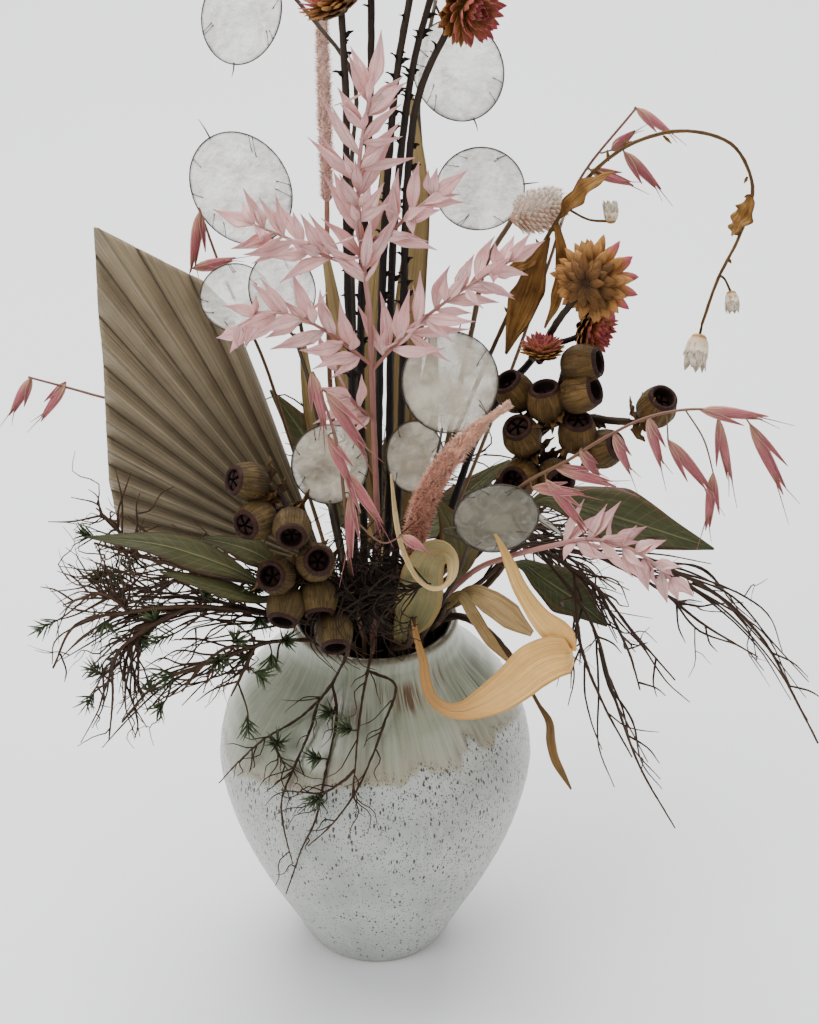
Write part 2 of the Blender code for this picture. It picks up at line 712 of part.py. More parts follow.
# Broad leaves: place in the neck, shared stem, and each blade's path, widths in mm and facing.
# A strap leaf turns as it goes, so it has a facing for each place on its path
LEAVES = {
    "gum_leaves_left": ("leaf_green", (-3, 0), [(300, 604, 16), (280, 588, 28)], [
        ([(270, 588, 34), (225, 566, 42), (160, 545, 44), (87, 537, 40)], (2, 15, 17, 10, 1),
         (0.0, 0.9)),
        ([(284, 578, 26), (262, 557, 28), (232, 545, 28), (200, 538, 28)], (2, 13, 14, 8, 1),
         (0.2, 0.7)),
        ([(266, 600, 40), (226, 590, 50), (190, 580, 54), (160, 572, 54)], (2, 9, 10, 6, 1),
         (0.0, 0.8)),
    ]),
    "gum_leaf_right": ("leaf_green", (3, -2), [(470, 560, -16), (520, 510, -8)], [
        ([(550, 498, -4), (600, 512, 0), (650, 528, 2), (714, 549, 0)], (3, 25, 29, 18, 1),
         (0.1, 0.5)),
    ]),
    "gum_leaf_dark": ("leaf_green", (3, -1), [(480, 590, -10), (506, 562, -8)], [
        ([(518, 562, -8), (545, 580, -6), (575, 600, -4), (607, 626, -2)], (3, 20, 22, 13, 1),
         (0.2, 0.5)),
    ]),
    "gum_leaf_middle": ("leaf_green", (2, 1), [(442, 602, 11), (452, 586, 12)], [
        ([(456, 578, 12), (462, 552, 13), (452, 524, 14), (436, 500, 14)], (3, 15, 17, 11, 1),
         (-0.3, 0.1)),
    ]),
    "strap_leaf_curled": ("leaf_tan", (1, 3), [(404, 650, 22)], [
        ([(403, 648, 24), (405, 630, 27), (414, 614, 31), (419, 600, 34), (421, 584, 38), (423, 569, 41),
          (430, 556, 45), (442, 550, 50), (453, 557, 54), (454, 573, 58), (446, 587, 60), (432, 590, 60),
          (418, 581, 59), (408, 564, 57), (400, 542, 55), (395, 515, 53), (391, 474, 50)],
         (6, 10, 17, 19, 18.5, 17, 14, 12, 10, 8, 7, 6.5, 5.5, 4.5, 3.5, 3, 1),
         [(0.0, 0.1), (0.0, 0.1), (0.0, 0.1), (0.0, 0.0), (0.0, -0.1), (0.1, -0.3), (0.0, -0.8),
          (-0.8, -1.0), (-2.0, -0.4), (-1.6, 0.8), (-0.6, 1.6, 0.4), (0.3, 2.0, 0.4), (1.2, 1.4, 0.5),
          (1.6, 0.6, 0.7), (1.4, 0.3, 0.9), (1.0, 0.2, 1.0), (1.0, 0.1, 1.0)]),
    ]),
    "strap_leaf_lower": ("leaf_tan", (1, 4), [(408, 644, 30), (411, 626, 35)], [
        ([(413, 618, 38), (417, 640, 44), (423, 661, 50), (426, 684, 58), (433, 700, 63), (447, 710, 66),
          (463, 711, 67), (480, 705, 68), (497, 696, 68), (515, 683, 68), (533, 667, 66), (549, 654, 64),
          (563, 646, 61), (555, 634, 58), (542, 620, 56), (530, 604, 54), (519, 586, 53), (511, 567, 52),
          (503, 549, 51), (495, 534, 50)],
         (2, 3, 4, 5, 5, 6, 8, 12, 15, 17, 19, 18, 14, 12, 9, 7, 6, 5, 3, 1),
         [(0.4, 0.2), (0.5, 0.3), (0.5, 0.4), (0.4, 0.4), (0.3, 0.5), (0.1, 0.5), (0.0, 0.4), (0.0, 0.4),
          (0.0, 0.3), (0.0, 0.3), (0.1, 0.3), (0.4, 0.2), (2.2, 0.2, 0.1), (0.6, -0.2, -1.0),
          (0.2, -0.3, -1.0), (0.2, -0.3, -1.0), (0.2, -0.3, -1.0), (0.2, -0.3, -1.0), (0.3, -0.3, -1.0),
          (0.3, -0.3, -1.0)]),
    ]),
    "strap_leaf_folded": ("leaf_tan", (3, 2), [(440, 620, 20)], [
        ([(446, 606, 26), (461, 596, 31), (474, 616, 37), (491, 642, 43), (511, 664, 48)],
         (3, 5, 5.5, 5, 1), [(0.2, 0.4)] * 5),
        ([(452, 606, 24), (470, 594, 28), (490, 603, 32), (510, 618, 36), (532, 634, 39)],
         (3, 8, 12.5, 13, 3), [(0.3, 0.6)] * 5),
    ]),
    "narrow_leaf": ("leaf_brown", (3, 1), [(470, 618, 22), (505, 650, 34), (530, 688, 42)], [
        ([(532, 694, 44), (550, 725, 46), (552, 752, 46), (571, 789, 44)], (2, 5, 5, 4, 1),
         (0.6, 0.2)),
    ]),
    "gum_leaves_back": ("leaf_green", (-1, -4), [(368, 548, -42), (370, 524, -58)], [
        ([(352, 530, -62), (330, 480, -76), (300, 430, -84), (270, 390, -88)],
         (3, 20, 22, 13, 1), (0.2, 0.2)),
        ([(380, 515, -70), (400, 470, -80), (410, 420, -88), (430, 370, -94)],
         (3, 19, 21, 12, 1), (-0.2, 0.2)),
        ([(396, 535, -62), (440, 520, -80), (470, 490, -92), (510, 460, -98)],
         (3, 19, 21, 12, 1), (-0.4, 0.3)),
    ]),
}


def evened(points, values, count):
    """Values given at places along a line, read again at evenly spaced places."""
    lengths = [0.0]
    for a, b in zip(points, points[1:]):
        lengths.append(lengths[-1] + (b - a).length)
    spread = []
    step = 0
    for k in range(count):
        goal = lengths[-1] * k / (count - 1)
        while step < len(points) - 2 and lengths[step + 1] < goal:
            step += 1
        share = min((goal - lengths[step]) / (lengths[step + 1] - lengths[step]), 1.0)
        spread.append(values[step] + (values[step + 1] - values[step]) * share)
    return spread


def make_leaves(name, finish, place, spots, blades):
    """One or more leaves on a shared stem."""
    stem = stem_path(place, [seen(*p) for p in spots], 5)
    pieces = [tube(stem, LEAF_STEM, 3)]
    for blade_spots, widths, lean in blades:
        points = [seen(*p) for p in blade_spots]
        if finish == "leaf_tan":
            count = len(points) + 1
            path = smooth(points, count)
            joint = nearest([stem[1:]], path[0])
            looks = evened(points, [facing(*one) for one in lean], count)
            root = [joint, path[0], path[0].lerp(path[1], 0.5)]
            pieces.append(tube(root, (0.0, STRAP_ROOT, 0.0), 3))
            pieces.append(ribbon(path, evened(points, widths, count), looks))
        else:
            face = facing(*lean)
            path = smooth([nearest([stem[1:]], points[0])] + points, 7)
            pieces.append(leaf(path, [2] + list(widths), face, LEAF_RIDGE))
    fuse(name, pieces, finish)


# Strawflowers: each stem's place in the neck, its path, and its heads with the way they face
STRAWFLOWERS = {
    "strawflower_a": ((-1, 0), [(354, 545, -4), (353, 400, -6), (348, 300, -8), (346, 200, -10),
                                (346, 100, -12), (342, 40, -12)],
                      [((335, 0, -12), (-0.4, 0.6, 0.2), 15.0)]),
    "strawflower_b": ((-1, -1), [(364, 545, -14), (361, 400, -17), (361, 300, -19), (366, 200, -20),
                                 (370, 100, -21), (372, 0, -22), (370, -24, -23)],
                      [((368, -48, -25), (-0.3, 1.0, -0.4), 15.0)]),
    "strawflower_c": ((0, 0), [(378, 545, -2), (379, 400, -4), (382, 300, -6), (386, 200, -8),
                               (394, 100, -10), (405, 10, -9), (410, -8, -8)],
                      [((416, -30, -6), (0.3, 1.0, 0.5), 15.0)]),
    "strawflower_d": ((0, -1), [(388, 545, -14), (390, 400, -19), (391, 300, -22), (396, 200, -24),
                                (408, 100, -26), (424, 10, -27), (436, -24, -28)],
                      [((446, -48, -29), (0.4, 0.9, -0.3), 15.0)]),
    "strawflower_e": ((1, 0), [(396, 545, 0), (402, 400, -2), (404, 300, -2), (406, 200, -3),
                               (416, 110, -4), (434, 45, -4), (452, 22, -4)],
                      [((469, 8, -4), (0.6, -0.4, 0.6), 16.0)]),
    "strawflower_right": ((2, -2), [(438, 545, -16), (480, 430, -16), (520, 372, -10), (548, 342, -6),
                                    (560, 318, -4), (574, 300, -2)],
                          [((594, 281, 5), (0.45, 0.2, -0.85), 18.0)]),
}
# Head from its base to its top: rows of (reach of the tips, reach of the notches, height)
BLOOM_POINTS = 8
BLOOM_PROFILE = (-0.36, [(1.0, 0.50, 0.02), (0.50, 0.46, 0.08), (0.84, 0.42, 0.26),
                         (0.42, 0.38, 0.24), (0.56, 0.30, 0.42), (0.28, 0.22, 0.34)], 0.40)
TOP_BLOOM_PROFILE = (-0.36, [(1.0, 0.50, 0.02), (0.50, 0.44, 0.08), (0.78, 0.38, 0.30),
                             (0.34, 0.28, 0.26)], 0.36)
FULL_BLOOMS = ("strawflower_right", "strawflower_e")
BLOOM_STEM = (1.7, 1.3)
BLOOM_BRANCH = 1.2
STRAWFLOWER_SIDES = [
    ([(540, 350, -7), (562, 342, -8), (578, 336, -8)], ((592, 329, -8), (0.8, -0.4, 0.4), 13.5)),
    ([(532, 360, -8), (536, 358, 0), (540, 362, 4)], ((542, 350, 5), (0.0, 0.9, 0.4), 10.0)),
]


def rosette(middle, axis, half, profile, points):
    """Closed body of pointed bracts: rings of (reach, notch, height) as shares of its half width."""
    first = axis.orthogonal().normalized()
    second = axis.cross(first)
    base, rings, top = profile
    sections = [[middle + axis * base * half * MM]]
    for n, (reach, notch, height) in enumerate(rings):
        ring = []
        for k in range(points * 2):
            turn = math.tau * k / (points * 2)
            size = reach if (k + n // 2) % 2 else notch
            lift = height if (k + n // 2) % 2 else min(height, 0.12 * n)
            out = first * math.cos(turn) + second * math.sin(turn)
            ring.append(middle + (out * size + axis * lift) * half * MM)
        sections.append(ring)
    sections.append([middle + axis * top * half * MM])
    return loft(sections)


def make_strawflower(name, plan):
    """Dark branched stem with a papery head at the end of each branch."""
    place, spots, heads = plan
    stem = [seen(*p) for p in spots]
    ends = [(stem, head) for head in heads]
    pieces = []
    if name == "strawflower_right":
        for side, head in STRAWFLOWER_SIDES:
            ends.append(([seen(*p) for p in side], head))
    for n, (path, head) in enumerate(ends):
        spot, way, half = head
        neck = seen(*spot) - facing(*way) * half * 0.3 * MM
        if n == 0:
            main = stem_path(place, path + [neck], 8)
            pieces.append(tube(main, BLOOM_STEM, 3))
        else:
            start = nearest([main[2:]], path[0])
            branch = smooth([start] + path[1:] + [neck], 5)
            pieces.append(tube(branch, (0.0, BLOOM_BRANCH, BLOOM_BRANCH, BLOOM_BRANCH), 3))
        profile = BLOOM_PROFILE if name in FULL_BLOOMS else TOP_BLOOM_PROFILE
        pieces.append(rosette(seen(*spot), facing(*way), half, profile, BLOOM_POINTS))
    fuse(name, pieces, "strawflower")


# Paper daisy: the arching stem, with its crumpled leaves and two buds
DAISY_SLOT = (1, -2)
DAISY_STEM = [(410, 560, -18), (440, 470, -23), (492, 350, -22), (530, 270, -18), (556, 222, -16),
              (599, 165, -14), (636, 142, -14), (667, 132, -14), (694, 132, -14), (723, 139, -14),
              (742, 155, -14), (752, 180, -14), (750, 205, -14), (739, 237, -14), (726, 264, -14),
              (713, 289, -14), (711, 302, -14), (702, 324, -14)]
DAISY_LEAVES = [
    ([(548, 236, -17), (538, 262, -13), (524, 300, -12), (506, 354, -12)], (2, 11, 14, 9, 1)),
    ([(540, 254, -16), (524, 262, -12), (506, 270, -10)], (2, 7, 6, 1)),
    ([(556, 224, -15), (562, 256, -11), (560, 290, -10), (545, 328, -10)], (2, 5, 6, 5, 1)),
    ([(560, 216, -16), (574, 200, -12), (592, 184, -10), (614, 172, -8)], (2, 7, 9, 6, 1)),
    ([(751, 196, -14), (748, 208, -12), (742, 220, -12), (732, 236, -12)], (2, 9, 10, 7, 1)),
    ([(745, 226, -14), (738, 228, -16), (728, 226, -18)], (2, 6, 5, 1)),
]
DAISY_BUDS = [((697, 349, -14), (-0.2, -1.0, 0.1), 6.0), ((732, 300, -14), (0.1, -1.0, 0.1), 3.6),
              ((611, 214, -10), (0.0, 1.0, 0.2), 3.6)]
DAISY_STEM_THICK = (1.3, 0.9)
DAISY_RIDGE = 1.6
BUD_STALK = 0.7
# Bud from its stalk to its open tip, in the same terms as the strawflower's head
BUD_POINTS = 5
BUD_PROFILE = (-1.1, [(0.66, 0.62, -0.5), (0.70, 0.64, 0.3), (0.52, 0.34, 1.2)], 0.7)


def make_daisy():
    """Arching daisy stem: one long curve with leaves hanging from it and buds at its ends."""
    path = stem_path(DAISY_SLOT, [seen(*p) for p in DAISY_STEM], 18)
    pieces = [tube(path, DAISY_STEM_THICK, 3)]
    for n, (spots, widths) in enumerate(DAISY_LEAVES):
        line = [seen(*p) for p in spots]
        line = smooth([nearest([path[2:]], line[0])] + line[1:], 5)
        face = facing(0.4 - 0.2 * n, 0.2)
        pieces.append(leaf(line, widths, face, DAISY_RIDGE))
    for spot, way, half in DAISY_BUDS:
        base = seen(*spot) - facing(*way) * half * 0.8 * MM
        joint = nearest([path[2:]], base - facing(*way) * 9.0 * MM)
        if (joint - base).length > 4.0 * MM:
            bend = base.lerp(joint, 0.5) - facing(*way) * 2.0 * MM
            pieces.append(tube([joint, bend, base], (0.0, BUD_STALK, BUD_STALK), 3))
        pieces.append(rosette(seen(*spot), facing(*way), half, BUD_PROFILE, BUD_POINTS))
    fuse("paper_daisy", pieces, "daisy")


# Cone head: its middle, the way its tip points, half its length, and its scales' size in mm
CONE_SPOT = (536, 212, -26)
CONE_WAY = (0.95, 0.3, 0.2)
CONE_HALF = 10.5
CONE_SCALES = 18
CONE_SCALE = (5.5, 2.8, 1.0)
CONE_SIDES = 7
CONE_STEM = [(424, 545, -27), (450, 430, -40), (474, 320, -42), (490, 250, -36)]
CONE_STEM_THICK = (1.3, 1.2)


def make_cone():
    """Downy cone head: an egg-shaped core with spiral rows of short scales."""
    middle = seen(*CONE_SPOT)
    axis = facing(*CONE_WAY)
    base = middle - axis * CONE_HALF * MM
    path = stem_path((1, -3), [seen(*p) for p in CONE_STEM] + [base], 7)
    pieces = [tube(path, CONE_STEM_THICK, 3)]
    core = [(0.0, CONE_HALF), (CONE_HALF * 0.55, CONE_HALF * 0.6), (CONE_HALF * 0.72, -1.0),
            (CONE_HALF * 0.45, -CONE_HALF * 0.8), (0.0, -CONE_HALF * 1.05)]
    pieces.append(turned(core, CONE_SIDES, middle, axis))
    first = axis.orthogonal().normalized()
    second = axis.cross(first)
    for k in range(CONE_SCALES):
        share = (k + 0.5) / CONE_SCALES
        turn = k * SPIRAL_TURN
        out = first * math.cos(turn) + second * math.sin(turn)
        height = CONE_HALF * (1.5 * share - 0.75)
        girth = CONE_HALF * 0.62 * math.sqrt(max(1.0 - (height / CONE_HALF) ** 2, 0.1))
        start = middle + axis * height * MM + out * girth * 0.6 * MM
        way = (out + axis * (0.5 + share)).normalized()
        pieces.append(blade(start, way, out.cross(way).cross(way), *CONE_SCALE, 0.0, (0.5,)))
    fuse("cone_head", pieces, "cone")


FOXTAIL_STEM = (1.1, 1.1)
FOXTAIL_RINGS = 9
FOXTAIL_SIDES = 5
BRISTLE_THICK = 0.75
# Foxtails: place in the neck, paths of stem and head, radius of the head in mm, count of bristles
FOXTAILS = {
    "foxtail_front": ((1, 2), [(410, 606, 18), (410, 572, 22)],
                      [(410, 572, 22), (416, 532, 27), (426, 498, 32), (447, 462, 36),
                       (478, 428, 37), (510, 404, 36)], 4.6, 30),
    "foxtail_back": ((-1, -3), [(356, 560, -36), (334, 430, -60), (328, 300, -66), (327, 200, -66)],
                     [(327, 200, -66), (325, 130, -66), (323, 60, -66), (321, 0, -66),
                      (318, -50, -66)], 2.6, 20),
}


def make_foxtail(name, plan, seed):
    """Soft spike: a slim core, thickest in its middle, with bristles all round."""
    rng = random.Random(seed)
    place, stalk, spots, girth, count = plan
    path = stem_path(place, [seen(*p) for p in stalk], 5)
    pieces = [tube(path, FOXTAIL_STEM, 3)]
    spike = smooth([seen(*p) for p in spots], FOXTAIL_RINGS)
    last = FOXTAIL_RINGS - 1
    rings = []
    for k, centre in enumerate(spike):
        share = k / last
        half = girth * (0.35 + 0.65 * math.sin(math.pi * min(share + 0.12, 1.0)) ** 0.6) * MM
        way = (spike[min(k + 1, last)] - spike[max(k - 1, 0)]).normalized()
        side = way.cross(TOWARD).normalized()
        lift = side.cross(way)
        turns = [math.tau * n / FOXTAIL_SIDES for n in range(FOXTAIL_SIDES)]
        rings.append([centre + side * math.cos(turn) * half + lift * math.sin(turn) * half
                      for turn in turns])
    pieces.append(loft([[spike[0] - (spike[1] - spike[0]) * 0.2]] + rings
                       + [[spike[-1] + (spike[-1] - spike[-2]) * 0.3]]))
    for k in range(count):
        centre, way = along(spike, (k + 0.5) / count * 0.98)
        side = way.cross(TOWARD).normalized()
        lift = side.cross(way)
        turn = k * SPIRAL_TURN + rng.uniform(-0.2, 0.2)
        out = side * math.cos(turn) + lift * math.sin(turn)
        tip = centre + (out + way * 0.7).normalized() * girth * rng.uniform(1.5, 1.8) * MM
        pieces.append(needle(centre, tip, BRISTLE_THICK))
    fuse(name, pieces, "foxtail")


# Pink ruscus: the main stem, then each leafy shoot, its count of leaves and their length in mm.
# A shoot of two places is a stretch of the main stem
RUSCUS_STEM_THICK = (1.4, 0.9)
RUSCUS_SHOOT_THICK = (0.0, 0.9, 0.8, 0.7, 0.6)
RUSCUS_WIDTH = 6.2
RUSCUS_RIDGE = 1.0
RUSCUS_WIDEST = (0.34, 0.72)
RUSCUS_SLOT = (0, 2)
RUSCUS_STEM = [(378, 560, 13), (374, 430, 17), (370, 330, 19), (366, 262, 20), (358, 228, 20),
               (356, 200, 20), (362, 140, 19), (372, 84, 17)]
RUSCUS_SHOOTS = [
    ([(370, 330, 19), (372, 84, 17)], 15, 29.0),
    ([(364, 246, 20), (390, 232, 20), (412, 212, 18), (434, 196, 14)], 6, 23.0),
    ([(370, 372, 19), (404, 336, 22), (440, 306, 20), (478, 280, 14), (512, 260, 8)], 13, 24.0),
    ([(362, 268, 20), (330, 258, 22), (292, 240, 22), (252, 224, 20)], 10, 24.0),
    ([(371, 366, 19), (344, 344, 26), (310, 322, 30), (268, 312, 30), (238, 326, 28)], 11, 24.0),
    ([(373, 420, 17), (352, 400, 26), (336, 370, 30)], 4, 22.0),
]
SPRIG_SLOT = (2, 2)
SPRIG_STEM = [(458, 584, 20), (486, 564, 36), (512, 556, 46), (556, 545, 50), (600, 540, 52),
              (644, 556, 54), (672, 580, 54)]
SPRIG_SHOOTS = [([(540, 550, 49), (672, 580, 54)], 10, 19.0)]


def leafy(pieces, kin, path, count, length, rng):
    """Set pointed leaves along a shoot, left and right in turn, and one at its tip."""
    for k in range(count + 1):
        share = 0.12 + 0.86 * k / count
        root, way = along(path, share)
        side = way.cross(TOWARD).normalized() * (1 if k % 2 else -1)
        reach = length * (1.08 - 0.4 * share) * rng.uniform(0.85, 1.15)
        toward = rng.uniform(-0.35, 0.55)
        spread = rng.uniform(0.55, 0.95)
        tilt = rng.uniform(-0.7, 0.7)
        curl = rng.uniform(-0.12, 0.16)
        if k == count:
            spread = 0.0
            tilt = 0.0
        choices = []
        for swing in (0.0, 0.4, -0.4, 0.8, -0.8, 1.2):
            out = (way + side * spread + TOWARD * (toward + swing)).normalized()
            face = (TOWARD + side * tilt - way * 0.3).normalized()
            choices.append(blade(root, out, face, reach, RUSCUS_WIDTH, RUSCUS_RIDGE, curl,
                                 RUSCUS_WIDEST))
        pieces.append(first_clear(choices, kin))


def make_ruscus(name, place, stem, shoots, seed):
    """Bleached ruscus: thin shoots with pointed leaves."""
    rng = random.Random(seed)
    path = stem_path(place, [seen(*p) for p in stem], 9)
    pieces = [tube(path, RUSCUS_STEM_THICK, 3)]
    kin = []
    for shoot, count, length in shoots:
        line = [seen(*p) for p in shoot]
        if len(shoot) > 2:
            line = smooth([nearest([path[2:]], line[0])] + line[1:], 6)
            pieces.append(tube(line, RUSCUS_SHOOT_THICK, 3))
        else:
            first = path.index(min(path, key=lambda p: (p - line[0]).length))
            line = path[first:]
        leafy(pieces, kin, line, count, length, rng)
    fuse(name, pieces, "ruscus")


OAT_STEM = (1.0, 0.7)
# Husk: shares of its length with its half width there, in mm, and how far its awn runs on
HUSK_WIDTHS = ((0.28, 2.4), (0.66, 1.6), (1.0, 0.45))
AWN_REACH = 1.45
HUSK_ROOT = 0.7
# Oats: place in the neck, stem, side stalks, and each spikelet's base and tip
OATS = {
    "oat_left": ((-3, -1), [(304, 572, -22), (220, 490, -46), (150, 410, -52), (105, 400, -52),
                            (62, 380, -50), (28, 377, -48)], [],
                 [((28, 377, -48), (10, 414, -46)), ((66, 382, -50), (42, 420, -50))]),
    "oat_back_left": ((-2, -2), [(330, 560, -30), (290, 440, -44), (252, 330, -50), (214, 258, -46),
                                 (199, 208, -40)],
                      [[(222, 274, -46), (205, 262, -40), (190, 270, -38)]],
                      [((199, 208, -40), (191, 270, -40)), ((190, 270, -38), (234, 258, -36))]),
    "oat_top_right": ((2, -3), [(440, 545, -34), (496, 410, -44), (540, 290, -42), (571, 196, -38),
                                (612, 134, -36), (636, 108, -34)],
                      [[(600, 152, -37), (620, 148, -34), (624, 152, -32)]],
                      [((636, 108, -34), (672, 133, -32)), ((612, 152, -35), (634, 131, -30)),
                       ((624, 152, -32), (660, 188, -30)), ((590, 170, -38), (632, 185, -34))]),
    "oat_right": ((0, 1), [(404, 600, 14), (458, 562, 20), (484, 530, 26), (504, 500, 36),
                           (530, 480, 40), (556, 468, 42), (588, 447, 46), (640, 420, 44),
                           (672, 413, 42), (700, 409, 40), (742, 414, 40)],
                  [[(686, 411, 41), (704, 440, 42), (714, 476, 42)]],
                  [((700, 409, 40), (766, 416, 42)), ((580, 450, 46), (600, 478, 44)),
                   ((614, 434, 45), (630, 474, 44)), ((648, 419, 44), (661, 468, 44)),
                   ((668, 440, 43), (712, 490, 44)), ((718, 418, 41), (732, 480, 42)),
                   ((714, 476, 42), (706, 528, 42)), ((750, 424, 40), (782, 492, 40)),
                   ((556, 468, 42), (614, 486, 50)), ((532, 488, 42), (582, 494, 50)),
                   ((546, 480, 44), (584, 530, 52))]),
    "oat_middle": ((-1, 3), [(352, 590, 34), (346, 520, 44), (340, 460, 48), (328, 410, 48),
                             (314, 374, 46)], [[(346, 510, 45), (380, 542, 58), (402, 536, 62)]],
                   [((328, 436, 48), (350, 486, 52)), ((344, 470, 47), (382, 522, 56)),
                    ((350, 494, 46), (348, 560, 52)), ((312, 372, 46), (326, 428, 48)),
                    ((326, 392, 47), (366, 456, 50)), ((402, 536, 60), (426, 550, 64))]),
}


def spikelet(base, tip, rng):
    """Drooping oat spikelet: a long husk drawn out into an awn, and a second husk beside it."""
    way = (tip - base).normalized()
    length = (tip - base).length
    side = way.cross(TOWARD).normalized()
    face = (TOWARD + side * rng.uniform(-0.5, 0.5)).normalized()
    side = way.cross(face).normalized()
    sections = [[base - way * HUSK_ROOT * MM]]
    for share, half in HUSK_WIDTHS:
        centre = base + way * length * share
        sections.append([centre - side * half * MM, centre + face * half * 0.7 * MM,
                         centre + side * half * MM])
    sections.append([base + (way * AWN_REACH + face * 0.1) * length])
    lean = (way + side * rng.choice((-0.3, 0.3))).normalized()
    second = blade(base + way * 1.5 * MM, lean, face, length * 0.7 / MM, 3.6, 1.3, 0.0, (0.45,))
    return [loft(sections), second]


def make_oat(name, plan, seed):
    """Arching oat stem with spikelets hanging from hair-thin stalks."""
    rng = random.Random(seed)
    place, spots, stalks, ears = plan
    line = [seen(*p) for p in spots]
    main = stem_path(place, line, max(6, len(line) + 1))
    pieces = [tube(main, OAT_STEM, 3)]
    lines = [main[2:]]
    for stalk in stalks:
        path = [seen(*p) for p in stalk]
        path = [nearest(lines, path[0])] + path[1:]
        pieces.append(tube(path, (0.0, HAIR_THICK, HAIR_THICK), 3))
        lines.append(path)
    for base, tip in ears:
        start = seen(*base)
        joint = nearest(lines, start)
        if (joint - start).length > 1.5 * MM:
            hair = [joint, start.lerp(joint, 0.5) + UP * MM, start]
            pieces.append(tube(hair, (0.0, HAIR_THICK, HAIR_THICK), 3))
        else:
            start = joint
        pieces += spikelet(start, seen(*tip), rng)
    fuse(name, pieces, "oat")


# Heath and broom: place in the neck, main twigs, then the count and length in mm of the side
# twigs, the count of needle tufts, and a seed
NEEDLE_LENGTH = 8.0
TUFT_NEEDLES = 4
SPRIG_THICK = 1.1
FORK_THICK = SPRIG_THICK * 0.7
SIDE_TWIG_THICK = 0.7
SPRIGS = {
    "heath_left_high": ((-3, 1), [
        [(300, 606, 22), (258, 585, 28), (196, 572, 22), (140, 556, 16), (94, 543, 12)],
        [(196, 572, 22), (160, 586, 16), (118, 588, 8), (63, 605, 4)],
        [(140, 556, 16), (113, 524, 12), (96, 508, 10)]], 9, 26.0, 3, 31),
    "heath_left_middle": ((-2, 2), [
        [(302, 622, 30), (250, 612, 44), (190, 606, 50), (130, 612, 50), (78, 623, 48),
         (53, 668, 46)],
        [(190, 606, 50), (150, 628, 54), (119, 640, 56), (113, 696, 56), (109, 740, 56)],
        [(130, 612, 50), (108, 596, 50), (84, 592, 50)]], 9, 26.0, 3, 32),
    "heath_left_low": ((-2, 3), [
        [(306, 640, 40), (256, 645, 54), (196, 668, 62), (140, 694, 64), (122, 722, 64)],
        [(256, 645, 54), (216, 652, 62), (182, 692, 66)],
        [(256, 645, 54), (244, 670, 62), (231, 696, 66)]], 7, 20.0, 3, 33),
    "heath_left_back": ((-3, -2), [
        [(304, 578, -26), (230, 552, -52), (160, 530, -66), (110, 520, -74)],
        [(230, 552, -52), (180, 560, -72), (130, 570, -84)]], 6, 26.0, 1, 34),
    "heath_back": ((0, -4), [
        [(394, 542, -44), (408, 500, -80), (414, 460, -104), (424, 440, -118)],
        [(404, 522, -66), (356, 470, -100), (320, 440, -114)],
        [(406, 510, -74), (446, 470, -102), (486, 450, -112)]], 6, 26.0, 1, 35),
    "broom_right_back": ((1, -4), [
        [(426, 545, -46), (500, 528, -68), (560, 525, -84), (620, 540, -92)],
        [(500, 528, -68), (560, 552, -78), (616, 590, -82)]], 8, 30.0, 0, 36),
    "broom_right": ((3, 0), [
        [(470, 590, 8), (536, 540, 14), (596, 556, 16), (685, 573, 18), (724, 600, 18),
         (753, 625, 18), (779, 668, 18), (818, 743, 18)],
        [(536, 540, 14), (600, 590, 20), (648, 652, 22), (675, 680, 22)],
        [(536, 540, 14), (590, 620, 24), (630, 749, 28), (662, 790, 28), (675, 828, 28)],
        [(596, 556, 16), (678, 600, 10), (714, 634, 8), (758, 657, 6)],
        [(600, 590, 20), (628, 650, 16), (640, 690, 14)],
        [(570, 580, 22), (582, 650, 30), (618, 735, 34), (632, 757, 34)]], 10, 22.0, 0, 37),
}


def tuft(pieces, root, tip, rng):
    """Whorl of short needles round the end of a twig."""
    way = (tip - root).normalized()
    first = way.orthogonal().normalized()
    second = way.cross(first)
    for n in range(TUFT_NEEDLES):
        turn = math.tau * (n * 0.5 + rng.uniform(-0.06, 0.06))
        turn += math.pi / 2 * (n // 2 % 2)
        start = root.lerp(tip, 0.3 + 0.6 * n / TUFT_NEEDLES)
        out = first * math.cos(turn) + second * math.sin(turn)
        end = start + (way * 0.8 + out).normalized() * NEEDLE_LENGTH * MM
        pieces.append(first_clear([needle(start, end, HAIR_THICK)]))


def sprig(plan):
    """Twiggy sprig: bent main twigs, short side twigs and tufts of needles."""
    place, lines, count, reach, tufts, seed = plan
    rng = random.Random(seed)
    pieces = []
    paths = []
    for spots in lines:
        points = [seen(*p) for p in spots]
        if not paths:
            path = stem_path(place, points, max(6, len(points) + 1))
            pieces.append(tube(path, (SPRIG_THICK, 0.5), 3))
            paths.append(path[2:])
        else:
            points[0] = nearest(paths, points[0])
            path = smooth(points, max(4, len(points)))
            pieces.append(tube(path, (0.0, FORK_THICK, FORK_THICK, 0.4), 3))
            paths.append(path)
    twigs = []
    kin = []
    for k in range(count):
        path = paths[k % len(paths)]
        root, way = along(path, rng.uniform(0.3, 0.95))
        side = way.cross(TOWARD).normalized() * (1 if k % 2 else -1)
        lean = rng.uniform(0.5, 1.0)
        toward = rng.uniform(-0.5, 0.5)
        length = reach * rng.uniform(0.6, 1.1)
        choices = []
        ends = []
        for swing in (0.0, 0.5, -0.5, 1.0, -1.0):
            out = (way + side * lean + TOWARD * (toward + swing) - UP * 0.15).normalized()
            tip = root + out * length * MM
            bend = root.lerp(tip, 0.5) + side * 1.8 * MM
            choices.append(twig(root, bend, tip, SIDE_TWIG_THICK))
            ends.append((bend, tip))
        found = first_clear(choices, kin)
        if found is not None:
            pieces.append(found)
            twigs.append(ends[choices.index(found)])
    for bend, tip in twigs[:tufts]:
        tuft(pieces, bend, tip, rng)
    return pieces


HANGING_STEM = (1.1, 0.9)
HANGING_FORK = (0.0, 0.8, 0.8, 0.5)
